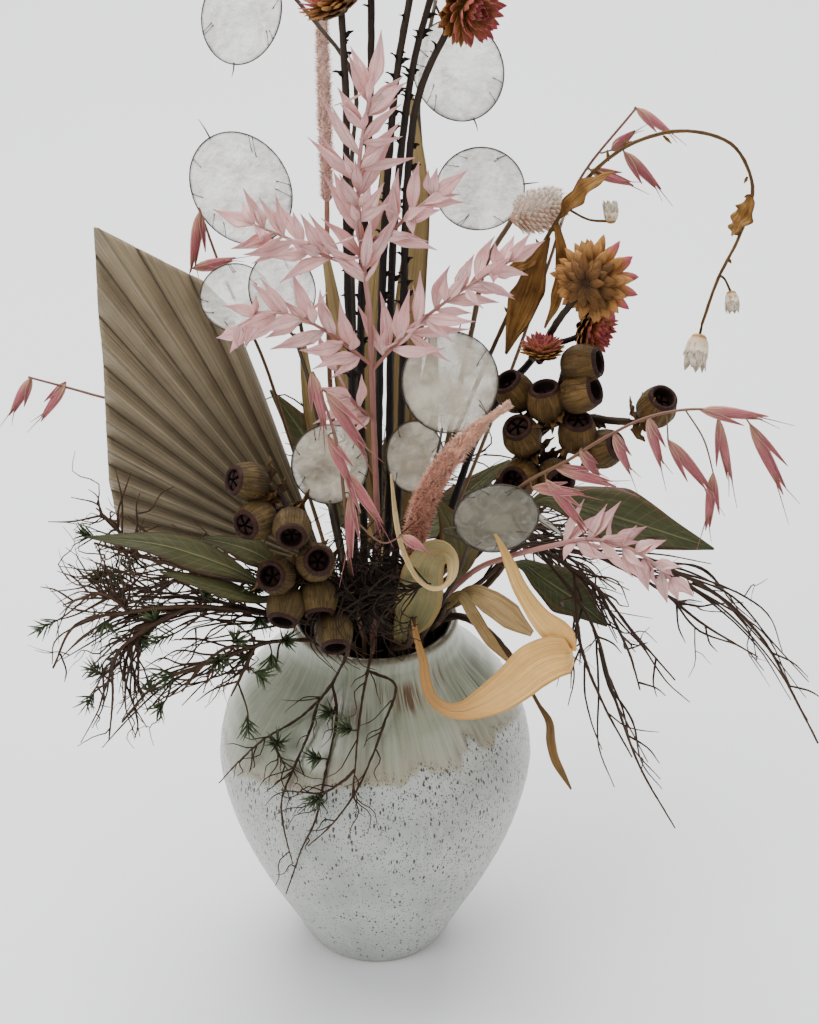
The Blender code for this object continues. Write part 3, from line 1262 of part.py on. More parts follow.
# Where a hanging sprig bends over the lip: pixels below its last place inside, mm off the vase
CREST_DROP = 24
CREST_LIFT = 9.0
CREST_CLEAR = 5.0
# Twigs that hang over the vase's front: pixels on the vase, mm that each lies off it
HANGING = {
    "heath_front_left": ((-1, 4), (350, 642, 36), [
        [(321, 700, 7), (293, 722, 5), (256, 745, 5), (219, 783, 6)],
        [(322, 702, 7), (299, 756, 4), (281, 806, 4), (293, 864, 4)],
        [(270, 738, 5), (288, 771, 7)],
        [(347, 690, 6), (332, 734, 4), (320, 806, 4), (305, 840, 4), (286, 894, 5)]],
        [(314, 758, 12), (330, 712, 12), (278, 742, 12)], 41),
    "heath_front_right": ((0, 4), (374, 640, 34), [
        [(361, 706, 8), (357, 748, 8), (352, 798, 8)],
        [(395, 676, 6), (388, 712, 6), (362, 780, 5), (334, 822, 7), (308, 846, 8)],
        [(354, 770, 8), (326, 792, 8), (281, 790, 9)]],
        [(346, 728, 14), (316, 800, 14)], 42),
}


def make_hanging(name, plan):
    """Heath sprig that leans over the lip and hangs down the vase's front."""
    place, lip, lines, tufts, seed = plan
    rng = random.Random(seed)
    start = seen(*lip)
    crest = over_vase(lip[0] - 2, lip[1] + CREST_DROP, CREST_LIFT)
    crest.z = max(crest.z, (LIP_HEIGHT + CREST_CLEAR) * MM)
    root = stem_path(place, [start, crest], 5)
    pieces = [tube(root, HANGING_STEM, 3)]
    paths = [root[-2:]]
    for spots in lines:
        points = [over_vase(*p) for p in spots]
        path = smooth([nearest(paths, points[0])] + points, len(points) + 2)
        pieces.append(tube(path, HANGING_FORK, 3))
        paths.append(path)
    for spot in tufts:
        tip = over_vase(*spot)
        joint = nearest(paths, tip)
        pieces.append(twig(joint, joint.lerp(tip, 0.5), tip, HAIR_THICK))
        tuft(pieces, joint, tip, rng)
    fuse(name, pieces, "twig")


# Tangle: count of its twigs, where its stem leaves the neck, its heart and its top
TANGLE_TWIGS = 12
TANGLE_NECK = (392, 628, 30)
TANGLE_HEART = (378, 616, 36)
TANGLE_TOP = (370, 586, 38)
TANGLE_STEM = (1.3, 0.9)
TANGLE_SEED = 51


def make_tangle():
    """Nest of fine curled twigs in the front of the vase's mouth."""
    rng = random.Random(TANGLE_SEED)
    heart = seen(*TANGLE_HEART)
    top = seen(*TANGLE_TOP)
    stem = stem_path((0, 3), [seen(*TANGLE_NECK), heart, top], 6)
    pieces = [tube(stem, TANGLE_STEM, 4)]
    kin = []
    for k in range(TANGLE_TWIGS):
        turn = math.tau * k / TANGLE_TWIGS
        out = RIGHT * math.cos(turn) * 1.1 + VIEW_UP * (0.6 + 0.6 * math.sin(turn))
        start, _ = along([heart, top], (k + 0.5) / TANGLE_TWIGS)
        choices = []
        for swing in (0.0, 0.4, -0.3, 0.8):
            way = (out + TOWARD * (rng.uniform(-0.1, 0.5) + swing)).normalized()
            length = rng.uniform(13, 24) * MM
            bend = start + way * length * 0.5 + VIEW_UP * rng.uniform(-4, 5) * MM
            tip = start + way * length + RIGHT * rng.uniform(-8, 8) * MM
            choices.append(twig(start, bend, tip, SIDE_TWIG_THICK))
        pieces.append(first_clear(choices, kin))
    fuse("twig_tangle", pieces, "twig")


FOXTAIL_SEED = 80
OAT_SEED = 90
RUSCUS_SEED = 21
SPRIG_SEED = 22


def make_all():
    """Build the big pieces first, so that small repeats can be set clear of them."""
    make_guide()
    make_vase()
    make_palm_fan()
    make_palm_spear()
    for name, plan in HONESTY.items():
        make_honesty(name, plan)
    for name, plan in GUMNUTS.items():
        make_gumnuts(name, plan)
    for name, plan in LEAVES.items():
        make_leaves(name, *plan)
    for name, plan in STRAWFLOWERS.items():
        make_strawflower(name, plan)
    make_daisy()
    make_cone()
    for n, (name, plan) in enumerate(FOXTAILS.items()):
        make_foxtail(name, plan, FOXTAIL_SEED + n)
    for n, (name, plan) in enumerate(OATS.items()):
        make_oat(name, plan, OAT_SEED + n)
    make_ruscus("pink_ruscus", RUSCUS_SLOT, RUSCUS_STEM, RUSCUS_SHOOTS, RUSCUS_SEED)
    make_ruscus("ruscus_sprig", SPRIG_SLOT, SPRIG_STEM, SPRIG_SHOOTS, SPRIG_SEED)
    for name, plan in SPRIGS.items():
        fuse(name, sprig(plan), "twig")
    for name, plan in HANGING.items():
        make_hanging(name, plan)
    make_tangle()


PARTS, GUIDES = start_scene()
make_all()
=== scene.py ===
import random
from math import atan2, copysign, cos, exp, pi, radians, sin, sqrt, tau

import bmesh
import bpy
from mathutils import Matrix, Vector, noise
from mathutils.kdtree import KDTree


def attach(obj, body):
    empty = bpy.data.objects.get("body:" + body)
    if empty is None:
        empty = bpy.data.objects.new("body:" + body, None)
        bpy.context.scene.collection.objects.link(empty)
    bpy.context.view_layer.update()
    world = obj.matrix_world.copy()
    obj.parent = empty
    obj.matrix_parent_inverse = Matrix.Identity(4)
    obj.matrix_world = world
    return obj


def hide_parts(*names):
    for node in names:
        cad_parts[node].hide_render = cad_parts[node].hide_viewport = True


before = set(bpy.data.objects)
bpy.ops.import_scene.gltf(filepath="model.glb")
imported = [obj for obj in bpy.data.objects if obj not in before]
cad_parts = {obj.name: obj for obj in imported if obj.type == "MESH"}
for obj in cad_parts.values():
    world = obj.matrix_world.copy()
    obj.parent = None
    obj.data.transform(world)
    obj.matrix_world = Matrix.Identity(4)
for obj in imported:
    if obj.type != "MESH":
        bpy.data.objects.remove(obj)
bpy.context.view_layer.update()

# Vase: a thrown stoneware jar with a round body, a short waisted neck and a rolled lip.
# It is glazed pale grey with dark iron specks, and a sage glaze is poured over its shoulder
# and runs down in a ragged edge. It stands on a small flat foot.
MM = 0.001
# Outside of the body, from the foot to under the lip: radius and height in mm
VASE_OUTLINE = [(30, 0), (33, 3), (41.5, 20), (53, 43), (62.5, 67), (68.3, 90), (69, 104), (65, 121),
                (56, 136), (45, 148), (38.5, 156.5), (35.5, 164)]
VASE_WALL = 4.0
VASE_FLOOR = 7.0
LIP_HEIGHT = 170.5
LIP_WIDTH = 36.3
LIP_ROUND = (2.05, 2.3)
VASE_STEPS = 240
# Height in mm of the sage glaze's edge, at even steps round the vase from its right side
DRIP_EDGE = [122, 124, 128, 126, 131, 128, 125, 130, 133, 127, 124, 129, 126, 131, 134, 128, 123, 127,
             132, 126, 121, 125, 129, 124, 127, 131, 125, 120, 124, 128, 123, 118, 122, 119, 116, 121,
             117, 113, 115, 111, 109, 108, 108, 111, 113, 114, 116, 117, 118, 120, 121, 123, 124, 124,
             125, 125, 124, 127, 129, 127, 126, 124, 129, 133, 127, 125, 129, 127, 126, 124, 122, 122]
DRIP_SWELL = 0.45
SAGE_THICK = 0.22
# Feathered patches on the shoulder, rust-brown, and dark grey-green streaks that are partly painted shade
# under the bouquet: middle and reach in mm, strength
RUST_PATCHES = [((-17, -40, 150), (10, 20, 8), 1.0), ((-6, -42, 148), (9, 20, 7), 0.8),
                ((15, -38, 153), (10, 20, 9), 1.2), ((4, -37, 156), (6, 20, 8), 0.8),
                ((28, -30, 157), (6, 20, 8), 0.8), ((20, 42, 149), (28, 30, 9), 0.8),
                ((-40, 20, 150), (20, 30, 10), 0.6)]
STREAK_AND_SHADE_PATCHES = [((45, -20, 148), (20, 30, 16), 1.0), ((-40, -20, 152), (26, 30, 10), 0.5),
                ((40, -42, 132), (10, 20, 8), 0.9), ((0, 40, 150), (40, 30, 12), 0.6)]


def srgb(*percents):
    """Colour in percents of red, green and blue as the eye sees it, turned into linear light."""
    parts = [p / 100 for p in percents]
    return tuple(((c + 0.055) / 1.055) ** 2.4 if c > 0.04045 else c / 12.92 for c in parts) + (1.0,)


def even_spots(points, count):
    """Evenly spaced places along a line of points, each as a step and a share of that step."""
    lengths = [0.0]
    for a, b in zip(points, points[1:]):
        lengths.append(lengths[-1] + (b - a).length)
    step = 0
    for k in range(count):
        goal = lengths[-1] * k / (count - 1)
        while step < len(points) - 2 and lengths[step + 1] < goal:
            step += 1
        yield step, (goal - lengths[step]) / max(lengths[step + 1] - lengths[step], 1e-9)


def smooth(points, count):
    """Places spread evenly along a smooth curve through the given ones."""
    ends = [points[0] * 2 - points[1], *points, points[-1] * 2 - points[-2]]
    fine = []
    for a, b, c, d in zip(ends, ends[1:], ends[2:], ends[3:]):
        for k in range(12):
            t = k / 12
            fine.append(0.5 * (2 * b + (c - a) * t + (2 * a - 5 * b + 4 * c - d) * t * t
                               + (3 * b - a - 3 * c + d) * t ** 3))
    fine.append(points[-1])
    return [fine[step].lerp(fine[step + 1], share) for step, share in even_spots(fine, count)]


class Skin:
    """A mesh being built. Each point carries a mark: along, across and tone."""

    def __init__(self):
        self.points = []
        self.marks = []
        self.faces = []
        self.finish = []

    def rows(self, rows, finish=0):
        """Quads between closed rows of (point, mark) pairs, and a face over each end."""
        first = len(self.points)
        wide = len(rows[0])
        for row in rows:
            for point, mark in row:
                self.points.append(point)
                self.marks.append(mark)
        for k in range(len(rows) - 1):
            low = first + k * wide
            for n in range(wide):
                m = (n + 1) % wide
                self.faces.append((low + n, low + m, low + wide + m, low + wide + n))
        self.faces.append(tuple(range(first + wide - 1, first - 1, -1)))
        self.faces.append(tuple(range(len(self.points) - wide, len(self.points))))
        self.finish.extend([finish] * (len(self.faces) - len(self.finish)))


class Wire:
    """One output of a shader node; sums on it and blends by it add nodes to the same tree."""

    def __init__(self, socket):
        self.socket = socket

    def put(self, kind, inputs, out=0, **settings):
        """Output of a new node beside this one."""
        return put(self.socket.id_data, kind, inputs, out, **settings)

    def parts(self):
        """All the outputs of this one's node."""
        return [Wire(socket) for socket in self.socket.node.outputs]

    def sums(self, kind, other=0.5, clamp=False):
        """Result of a sum on this value and another."""
        return self.put("Math", {0: self, 1: other}, operation=kind, use_clamp=clamp)

    def __add__(self, other):
        return self.sums("ADD", other)

    def __sub__(self, other):
        return self.sums("SUBTRACT", other)

    def __mul__(self, other):
        return self.sums("MULTIPLY", other)

    def each(self, kind, other=(0, 0, 0), out=0):
        """Result of a sum on each part of this vector and another."""
        return self.put("VectorMath", {0: self, 1: other}, out, operation=kind)

    def ramp(self, low, high, start=0.0, end=1.0):
        """This value mapped smoothly from low..high to start..end."""
        return self.put("MapRange", {"Value": self, "From Min": low, "From Max": high,
                        "To Min": start, "To Max": end}, interpolation_type="SMOOTHSTEP")

    def blend(self, first, second):
        """Colour mixed from two, with this value as the second one's share."""
        return self.put("Mix", {0: self, 6: first, 7: second}, 2, data_type="RGBA")

    def cloud(self, scale, detail=2.0, rough=0.5):
        """Soft noise from 0 to 1 over this vector."""
        return self.put("TexNoise", {"Vector": self, "Scale": scale, "Detail": detail,
                        "Roughness": rough})


def join(node, key, value):
    """Set an input of a node to a value, or link it to another node's output."""
    if isinstance(value, Wire):
        node.id_data.links.new(value.socket, node.inputs[key])
    else:
        node.inputs[key].default_value = value


def put(tree, kind, inputs=None, out=0, **settings):
    """Output of a new node with its settings and inputs."""
    node = tree.nodes.new("ShaderNode" + kind)
    for key, value in settings.items():
        setattr(node, key, value)
    for key, value in (inputs or {}).items():
        join(node, key, value)
    return Wire(node.outputs[out])


def place_of(tree):
    """Place on the object, in metres."""
    return put(tree, "TexCoord", out="Object")


def read_mark(tree):
    """The three parts of each point's mark."""
    mark = put(tree, "Attribute", out="Vector", attribute_name="place")
    return mark.put("SeparateXYZ", {0: mark}).parts()


def new_material(name, sockets):
    """Principled material with its constant values on the shader's own sockets."""
    material = bpy.data.materials.new(name)
    material.use_nodes = True
    shader = material.node_tree.nodes["Principled BSDF"]
    for key, value in sockets.items():
        join(shader, key, value)
    return material, material.node_tree, shader


def set_bump(shader, height, distance):
    """Small relief on a material, distance in mm."""
    join(shader, "Normal", height.put("Bump", {"Height": height, "Distance": distance * MM}))


def keep(name, skin, finishes, node, slot_name):
    """Make the piece that stands for a node of the frame, and tie it to the frame."""
    mesh = bpy.data.meshes.new(name)
    mesh.from_pydata(skin.points, [], skin.faces)
    marks = mesh.attributes.new("place", "FLOAT_VECTOR", "POINT")
    marks.data.foreach_set("vector", [value for mark in skin.marks for value in mark])
    for finish in finishes:
        mesh.materials.append(finish)
    mesh.polygons.foreach_set("material_index", skin.finish)
    work = bmesh.new()
    work.from_mesh(mesh)
    bmesh.ops.recalc_face_normals(work, faces=work.faces)
    work.to_mesh(mesh)
    work.free()
    mesh.shade_smooth()
    piece = bpy.data.objects.new(name, mesh)
    bpy.context.scene.collection.objects.link(piece)
    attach(piece, "root")
    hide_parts(node)


def drip_edge(turn):
    """Height in mm of the sage glaze's lower edge at a turn round the vase."""
    spot = turn / tau % 1.0 * len(DRIP_EDGE)
    step = int(spot)
    share = spot - step
    share = share * share * (3 - 2 * share)
    low = DRIP_EDGE[step % len(DRIP_EDGE)]
    return low + (DRIP_EDGE[(step + 1) % len(DRIP_EDGE)] - low) * share


def vase_radius(height):
    """Outer radius of the vase at a height, both in mm."""
    outline = VASE_OUTLINE + [(LIP_WIDTH, LIP_HEIGHT)]
    for (r0, z0), (r1, z1) in zip(outline, outline[1:]):
        if z0 <= height <= z1:
            return r0 + (r1 - r0) * (height - z0) / (z1 - z0)
    return 0.0


def vase_outline():
    """Points (radius, height) in mm from the middle of the inner floor, over the lip, to the foot."""
    outside = smooth([Vector((r, 0, z)) for r, z in reversed(VASE_OUTLINE)], 96)
    lip = [(LIP_WIDTH + LIP_ROUND[0] * (cos(turn) - 1), LIP_HEIGHT + LIP_ROUND[1] * (sin(turn) - 1))
           for turn in (pi * (1.12 - 1.24 * k / 14) for k in range(15))]
    inside = [(vase_radius(h) - VASE_WALL, h) for h in (12.0 + 146.0 * k / 29 for k in range(30))]
    floor = [(0.0, VASE_FLOOR), (12.0, VASE_FLOOR), (24.0, VASE_FLOOR + 0.4)]
    foot = [(29.4, 0.0), (28.6, 0.0), (27.2, 0.3), (26.2, 1.2), (14.0, 1.5), (0.0, 1.5)]
    return floor + inside + lip + [(p.x, p.z) for p in outside] + foot


def vase_skin():
    """The vase's skin. Its mark is the height above the drip edge, 1 outside, and the height."""
    skin = Skin()
    rows = []
    outline = vase_outline()
    crest = max(range(len(outline)), key=lambda k: outline[k][1])
    for k, (radius, height) in enumerate(outline):
        row = []
        for n in range(VASE_STEPS):
            turn = tau * n / VASE_STEPS
            above = height - drip_edge(turn)
            reach = max(radius, 0.02)
            if k >= crest and radius > 28.0 and 3.0 < height < LIP_HEIGHT - 3.0:
                reach += DRIP_SWELL * exp(-((above - 1.2) / 2.2) ** 2) + SAGE_THICK * (above > 0)
                reach += 0.10 * sin(height * 0.9 + cos(turn) * 0.6)
                reach += 0.16 * noise.noise(Vector((cos(turn), sin(turn), height * 0.02)) * 2)
            row.append((Vector((cos(turn) * reach, sin(turn) * reach, height)) * MM,
                        (above / 100, float(k >= crest), height / 100)))
        rows.append(row)
    skin.rows(rows)
    return skin


def patches(place, spots):
    """Soft mask over a few places on the vase."""
    masks = []
    for centre, reach, strength in spots:
        away = place.each("SUBTRACT", [v * MM for v in centre]).each("DIVIDE", [v * MM for v in reach])
        masks.append(away.each("LENGTH", out=1).ramp(1.0, 0.2, 0.0, strength))
    mask = masks[0]
    for one in masks[1:]:
        mask = mask.sums("MAXIMUM", one)
    return mask


def specks(place, stretch, scale, share, small):
    """Mask of short iron specks, one in a share of the cells of a stretched vector."""
    vector = place.each("MULTIPLY", (1, 1, stretch))
    distance, colour = vector.put("TexVoronoi", {"Vector": vector, "Scale": scale}).parts()[:2]
    chance = colour.put("SeparateColor", {0: colour}).parts()
    mask = (chance[1].ramp(0.0, 1.0, small, 0.38) - distance).ramp(-0.04, 0.06)
    return mask * chance[0].sums("LESS_THAN", share)


def glaze():
    """Two stoneware glazes, with iron specks, streaks and rust patches, painted shade in streaks on the
    shoulder, and painted shade inside.
    """
    material, tree, shader = new_material("stoneware_glaze", {"IOR": 1.5, "Coat Weight": 0.22,
                                          "Coat Roughness": 0.22})
    place = place_of(tree)
    above, outside, height = read_mark(tree)
    # Place carried out to one radius, so that the runs follow the slope of the shoulder
    spoke = place.each("MULTIPLY", (1, 1, 0)).each("NORMALIZE")
    runs = spoke.each("MULTIPLY", [0.06] * 3).each("ADD", place.each("MULTIPLY", (0, 0, 0.07)))
    streak = runs.cloud(520, 4, 0.65)
    broad = runs.cloud(130, 3, 0.6)
    drift = place.cloud(34)
    edge = above + (streak - 0.5) * 0.09
    sage_share = edge.ramp(-0.010, 0.022)
    # Pale glaze with soft cloudiness
    pale = drift.ramp(0.3, 0.7).blend(srgb(60, 61, 58.5), srgb(69, 70, 68))
    pale = streak.ramp(0.5, 0.75, 0.0, 0.4).blend(pale, srgb(75, 76, 73.5))
    # Iron specks: short dashes, dense below the drip edge and on the right
    side = place.put("SeparateXYZ", {0: place})
    dense = above.ramp(-0.75, -0.02, 0.42, 0.80) + side.ramp(-0.010, 0.055, 0.0, 0.36)
    dense = dense * drift.ramp(0.25, 0.65, 0.6, 1.15)
    speck = specks(place, 0.34, 720, dense, 0.04).sums("MAXIMUM", specks(place, 0.55, 1500, dense, 0.10))
    speck = speck * edge.ramp(0.07, 0.0, 0.06, 0.95)
    # Sage glaze, milky beige where it thins out, with fine runs
    sage = streak.ramp(0.30, 0.70).blend(srgb(47, 48, 40), srgb(57.5, 59, 51))
    sage = broad.ramp(0.35, 0.65, 0.0, 0.6).blend(sage, srgb(57.5, 59.5, 52))
    tan = streak.blend(srgb(45, 41, 33), srgb(68, 65, 57))
    sage = (edge + broad * 0.20).ramp(0.08, 0.26).blend(tan, sage)
    rust = patches(place, RUST_PATCHES).sums("MULTIPLY", runs.cloud(700, 3, 0.6).ramp(0.42, 0.62), True)
    sage = rust.blend(sage, srgb(34, 23, 13))
    # Dark grey-green streaks, darker copies of the sage glaze that are partly painted shade on the shoulder
    # under the bouquet
    swirl = runs.put("TexNoise", {"Vector": runs, "Scale": 260, "Detail": 3, "Distortion": 0.8})
    dark = patches(place, STREAK_AND_SHADE_PATCHES).sums("MULTIPLY", swirl.ramp(0.40, 0.62), True)
    sage = dark.blend(sage, srgb(31, 31.5, 25))
    both = speck.blend(sage_share.blend(pale, sage), srgb(17, 14.5, 12))
    # Thin brown glaze on the lip, bare clay on the foot, and painted shade inside the jar: its inner wall and
    # floor are painted near black
    lip = height.ramp(1.672, 1.700) * streak.ramp(0.3, 0.6, 0.3, 0.85)
    both = lip.blend(both, srgb(36, 29, 20))
    bare = height.ramp(0.016, 0.008)
    both = bare.blend(both, srgb(60, 54, 46))
    join(shader, "Base Color", outside.ramp(0.5, 0.4).blend(both, srgb(20, 19, 15)))
    satin = sage_share.ramp(0.0, 1.0, 0.42, 0.30) + drift.ramp(0.3, 0.7, -0.05, 0.07)
    join(shader, "Roughness", satin + bare * 0.45)
    set_bump(shader, drift * 0.6 - speck * 0.5, 0.25)
    return material


keep("glazed_vase", vase_skin(), [glaze()], "vase", "glaze")


# Palm fan: a dried fan leaf cut square at the upper left, pleated from its stalk outward.
# Each pleat is a stiff papery panel between a raised ridge and a valley, with a highlight painted on the
# ridge and shade painted in the valley.
# Its flat stalk stands in the neck at the left.
FAN_FOLDS = 22
FAN_ROWS = 44
PANEL_STEPS = 7
# Heart and trimmed edge in pixels, depth of a pleat in mm, and how far it leans back at either end
FAN_HEART = (325, 566)
FAN_EDGE = [(127, 537), (118, 524), (109, 480), (107, 440), (103, 355), (99, 320), (94, 226),
            (170, 265), (203, 281), (229, 307), (262, 390), (298, 489)]
FAN_DEPTH = 3.2
FAN_LEAN = (-6.0, -26.0)
# Stems stand in columns and rows in the neck, some mm apart, and a little closer on the vase's floor
STEM_PITCH = 8.0
STEM_ROW = 7.0
NECK_HEIGHT = 172.0
FLOOR_SPREAD = 0.84
SEAT_GAP = 0.3
JOINT_DEPTH = 1.5
# Front view that places are read in: focal length and centre in pixels, tilt, place and directions
VIEW_FOCUS = 2600.0
VIEW_CENTRE = (409.5, 512.0)
VIEW_TILT = radians(31.5)
VIEW_FROM = Vector((15.3, -937.5, 796.9)) * MM
UP = Vector((0.0, 0.0, 1.0))
RIGHT = Vector((1.0, 0.0, 0.0))
VIEW_UP = Vector((0.0, sin(VIEW_TILT), cos(VIEW_TILT)))
TOWARD = Vector((0.0, -cos(VIEW_TILT), sin(VIEW_TILT)))
# Inputs of the plant tissue's node group, with their start values. A material gives four colours
# in percents, then a look: as many of the other values as it needs, in this order
TISSUE = {"Root Colour": (0.4, 0.3, 0.2, 1), "Tip Colour": (0.5, 0.4, 0.3, 1),
          "Fibre Colour": (0.2, 0.15, 0.1, 1), "Edge Colour": (0.3, 0.2, 0.1, 1), "Fibres": 12.0,
          "Fibre Strength": 0.5, "Blotch Size": 120.0, "Blotch Strength": 0.3, "Edge Strength": 0.4,
          "Tone Spread": 0.25, "Tip Start": 0.4, "Tip End": 1.0}


def seen(across, down, near):
    """The place that the front view shows at a pixel, near mm in front of the vase's axis."""
    ray = (RIGHT * ((across - VIEW_CENTRE[0]) / VIEW_FOCUS) - TOWARD
           - VIEW_UP * ((down - VIEW_CENTRE[1]) / VIEW_FOCUS))
    return VIEW_FROM + ray * ((-near * MM - VIEW_FROM.y) / ray.y)


def seen_line(spots):
    """The places at several pixels."""
    return [seen(*spot) for spot in spots]


def facing(right, up, toward=1.0):
    """Unit direction given by its parts to the right, up and toward the viewer."""
    return (RIGHT * right + VIEW_UP * up + TOWARD * toward).normalized()


def nearest(paths, point):
    """The place inside any of the stems that is nearest to a point, short of the stem's end."""
    best = paths[0][0]
    for path in paths:
        for a, b in zip(path, path[1:]):
            span = (b - a).length
            share = (point - a).dot(b - a) / max(span * span, 1e-12)
            place = a.lerp(b, min(max(share, 0.0), 1.0 - JOINT_DEPTH * MM / span))
            if (place - point).length < (best - point).length:
                best = place
    return best


def read_along(values, share):
    """Value at a share of the way through an evenly spaced list."""
    spot = min(max(share, 0.0), 1.0) * (len(values) - 1)
    step = min(int(spot), len(values) - 2)
    return values[step] + (values[step + 1] - values[step]) * (spot - step)


def way_at(path, k):
    """Direction of a path at one of its points."""
    return (path[min(k + 1, len(path) - 1)] - path[max(k - 1, 0)]).normalized()


def tube(skin, path, thick, sides, finish=0, tone=0.0, knots=0.0):
    """Round stem along a path: radii in mm read along it, roughened by knots."""
    last = len(path) - 1
    side = None
    rows = []
    for k, place in enumerate(path):
        way = way_at(path, k)
        side = way.orthogonal() if side is None else side - way * side.dot(way)
        side.normalize()
        up = way.cross(side)
        half = max(read_along(thick, k / last), 0.02) * MM
        row = []
        for n in range(sides):
            turn = tau * n / sides
            grow = 1.0 + (knots * noise.noise(place * 420 + side * n) if knots else 0.0)
            row.append((place + (side * cos(turn) + up * sin(turn)) * half * grow,
                        (k / last, n / sides * 2 - 1, tone)))
        rows.append(row)
    skin.rows(rows, finish)


def stem(skin, place, points, count, times, thick, sides, finish, knots=0.0):
    """Stem from its place on the vase's floor straight to the neck, then on through the points."""
    column, row = place
    across = (column + row % 2 * 0.5) * STEM_PITCH * MM
    away = -row * STEM_ROW * MM
    foot = Vector((across * FLOOR_SPREAD, away * FLOOR_SPREAD, (VASE_FLOOR + SEAT_GAP) * MM))
    path = smooth([Vector((across, away, NECK_HEIGHT * MM)), *points], count)
    tube(skin, [foot] + smooth(path, (count - 1) * times + 1), thick, sides, finish, knots=knots)
    return [foot] + path


def sheet(skin, grid, thick, finish=0, lens=0.0):
    """Closed thin body over a grid of (point, mark) pairs; lens thins it toward its edges."""
    high = len(grid)
    wide = len(grid[0])
    top = []
    bottom = []
    for k in range(high):
        for n in range(wide):
            rise = grid[min(k + 1, high - 1)][n][0] - grid[max(k - 1, 0)][n][0]
            run = grid[k][min(n + 1, wide - 1)][0] - grid[k][max(n - 1, 0)][0]
            s = 2.0 * n / (wide - 1) - 1.0
            off = run.cross(rise).normalized() * (thick * 0.5 * MM * (1.0 - lens * s * s))
            top.append(grid[k][n][0] + off)
            bottom.append(grid[k][n][0] - off)
    first = len(skin.points)
    under = first + high * wide
    skin.points.extend(top + bottom)
    skin.marks.extend([mark for row in grid for _, mark in row] * 2)
    for k in range(high - 1):
        for a in range(k * wide, k * wide + wide - 1):
            skin.faces.append((first + a, first + a + 1, first + a + wide + 1, first + a + wide))
            skin.faces.append((under + a, under + a + wide, under + a + wide + 1, under + a + 1))
    rim = list(range(wide)) + [k * wide + wide - 1 for k in range(1, high)]
    rim += [(high - 1) * wide + n for n in range(wide - 2, -1, -1)]
    rim += [k * wide for k in range(high - 2, 0, -1)]
    for a, b in zip(rim, rim[1:] + rim[:1]):
        skin.faces.append((first + a, under + a, under + b, first + b))
    skin.finish.extend([finish] * (len(skin.faces) - len(skin.finish)))


def tissue_group():
    """Colour of dried plant tissue: root to tip, fibres along it, blotches, edge and tone."""
    tree = bpy.data.node_groups.new("dried_plant", "ShaderNodeTree")
    for label, value in TISSUE.items():
        kind = "NodeSocketColor" if "Colour" in label else "NodeSocketFloat"
        tree.interface.new_socket(label, in_out="INPUT", socket_type=kind).default_value = value
    for label, kind in (("Colour", "Color"), ("Roughness", "Float"), ("Height", "Float")):
        tree.interface.new_socket(label, in_out="OUTPUT", socket_type="NodeSocket" + kind)
    start = tree.nodes.new("NodeGroupInput")
    given = {label: Wire(start.outputs[label]) for label in TISSUE}
    end = tree.nodes.new("NodeGroupOutput")
    place = place_of(tree)
    reach, across, tone = read_mark(tree)
    lined = put(tree, "CombineXYZ", {0: reach * 2.2, 1: across * given["Fibres"], 2: tone * 31})
    fibre = lined.cloud(1, 3, 0.6).ramp(0.36, 0.66)
    blotch = place.cloud(given["Blotch Size"], 3, 0.6).ramp(0.45, 0.70)
    tip = reach.ramp(given["Tip Start"], given["Tip End"])
    colour = tip.blend(given["Root Colour"], given["Tip Colour"])
    colour = (fibre * given["Fibre Strength"]).blend(colour, given["Fibre Colour"])
    colour = (blotch * given["Blotch Strength"]).blend(colour, given["Fibre Colour"])
    away = across.sums("ABSOLUTE")
    edge = (away + fibre * 0.15).ramp(0.80, 1.05)
    colour = (edge * given["Edge Strength"]).blend(colour, given["Edge Colour"])
    light = tone * given["Tone Spread"] + 1.0
    join(end, "Colour", colour.put("HueSaturation", {"Value": light, "Color": colour}))
    join(end, "Roughness", fibre.ramp(0.0, 1.0, 0.55, 0.78))
    join(end, "Height", fibre * 0.7 + away.ramp(0.16, 0.0))
    return tree


DRIED_PLANT = tissue_group()


def tissue(name, relief, colours, look, sockets=None, over=None):
    """Material of dried plant tissue, with relief in mm; over paints on its colour."""
    material, tree, shader = new_material(name, {"Specular IOR Level": 0.22, **(sockets or {})})
    group = tree.nodes.new("ShaderNodeGroup")
    group.node_tree = DRIED_PLANT
    for label, value in zip(TISSUE, [srgb(*colour) for colour in colours] + list(look)):
        group.inputs[label].default_value = value
    colour = Wire(group.outputs["Colour"])
    join(shader, "Base Color", over(tree, colour) if over else colour)
    join(shader, "Roughness", Wire(group.outputs["Roughness"]))
    if relief:
        set_bump(shader, Wire(group.outputs["Height"]), relief)
    return material


def reach_of_edge(turn):
    """Pixels from the heart of the fan to its trimmed edge at a turn."""
    ray = Vector((cos(turn), sin(turn)))
    found = []
    for a, b in zip(FAN_EDGE, FAN_EDGE[1:]):
        start = Vector(a) - Vector(FAN_HEART)
        span = Vector(b) - Vector(a)
        bottom = ray.cross(span)
        if abs(bottom) > 1e-9 and -0.001 <= start.cross(ray) / bottom <= 1.001:
            found.append(start.cross(span) / bottom)
    return max(found)


def fan_point(fold, share):
    """Place on the fan at a fold's line, a share of the way out, and 1 on a ridge to -1 in a valley."""
    first, last = (atan2(y - FAN_HEART[1], x - FAN_HEART[0]) % tau for x, y in (FAN_EDGE[0], FAN_EDGE[-1]))
    turn = first + (last - first) * fold / FAN_FOLDS
    reach = reach_of_edge(turn) * share
    saw = 1.0 - 2.0 * abs(fold % 2.0 - 1.0)
    rise = FAN_DEPTH * abs(saw) ** 0.8 + 0.35 * max(abs(saw) - 0.86, 0.0) / 0.14
    near = FAN_LEAN[0] + (FAN_LEAN[1] - FAN_LEAN[0]) * share + copysign(rise * share, saw)
    return seen(FAN_HEART[0] + cos(turn) * reach, FAN_HEART[1] + sin(turn) * reach, near), saw


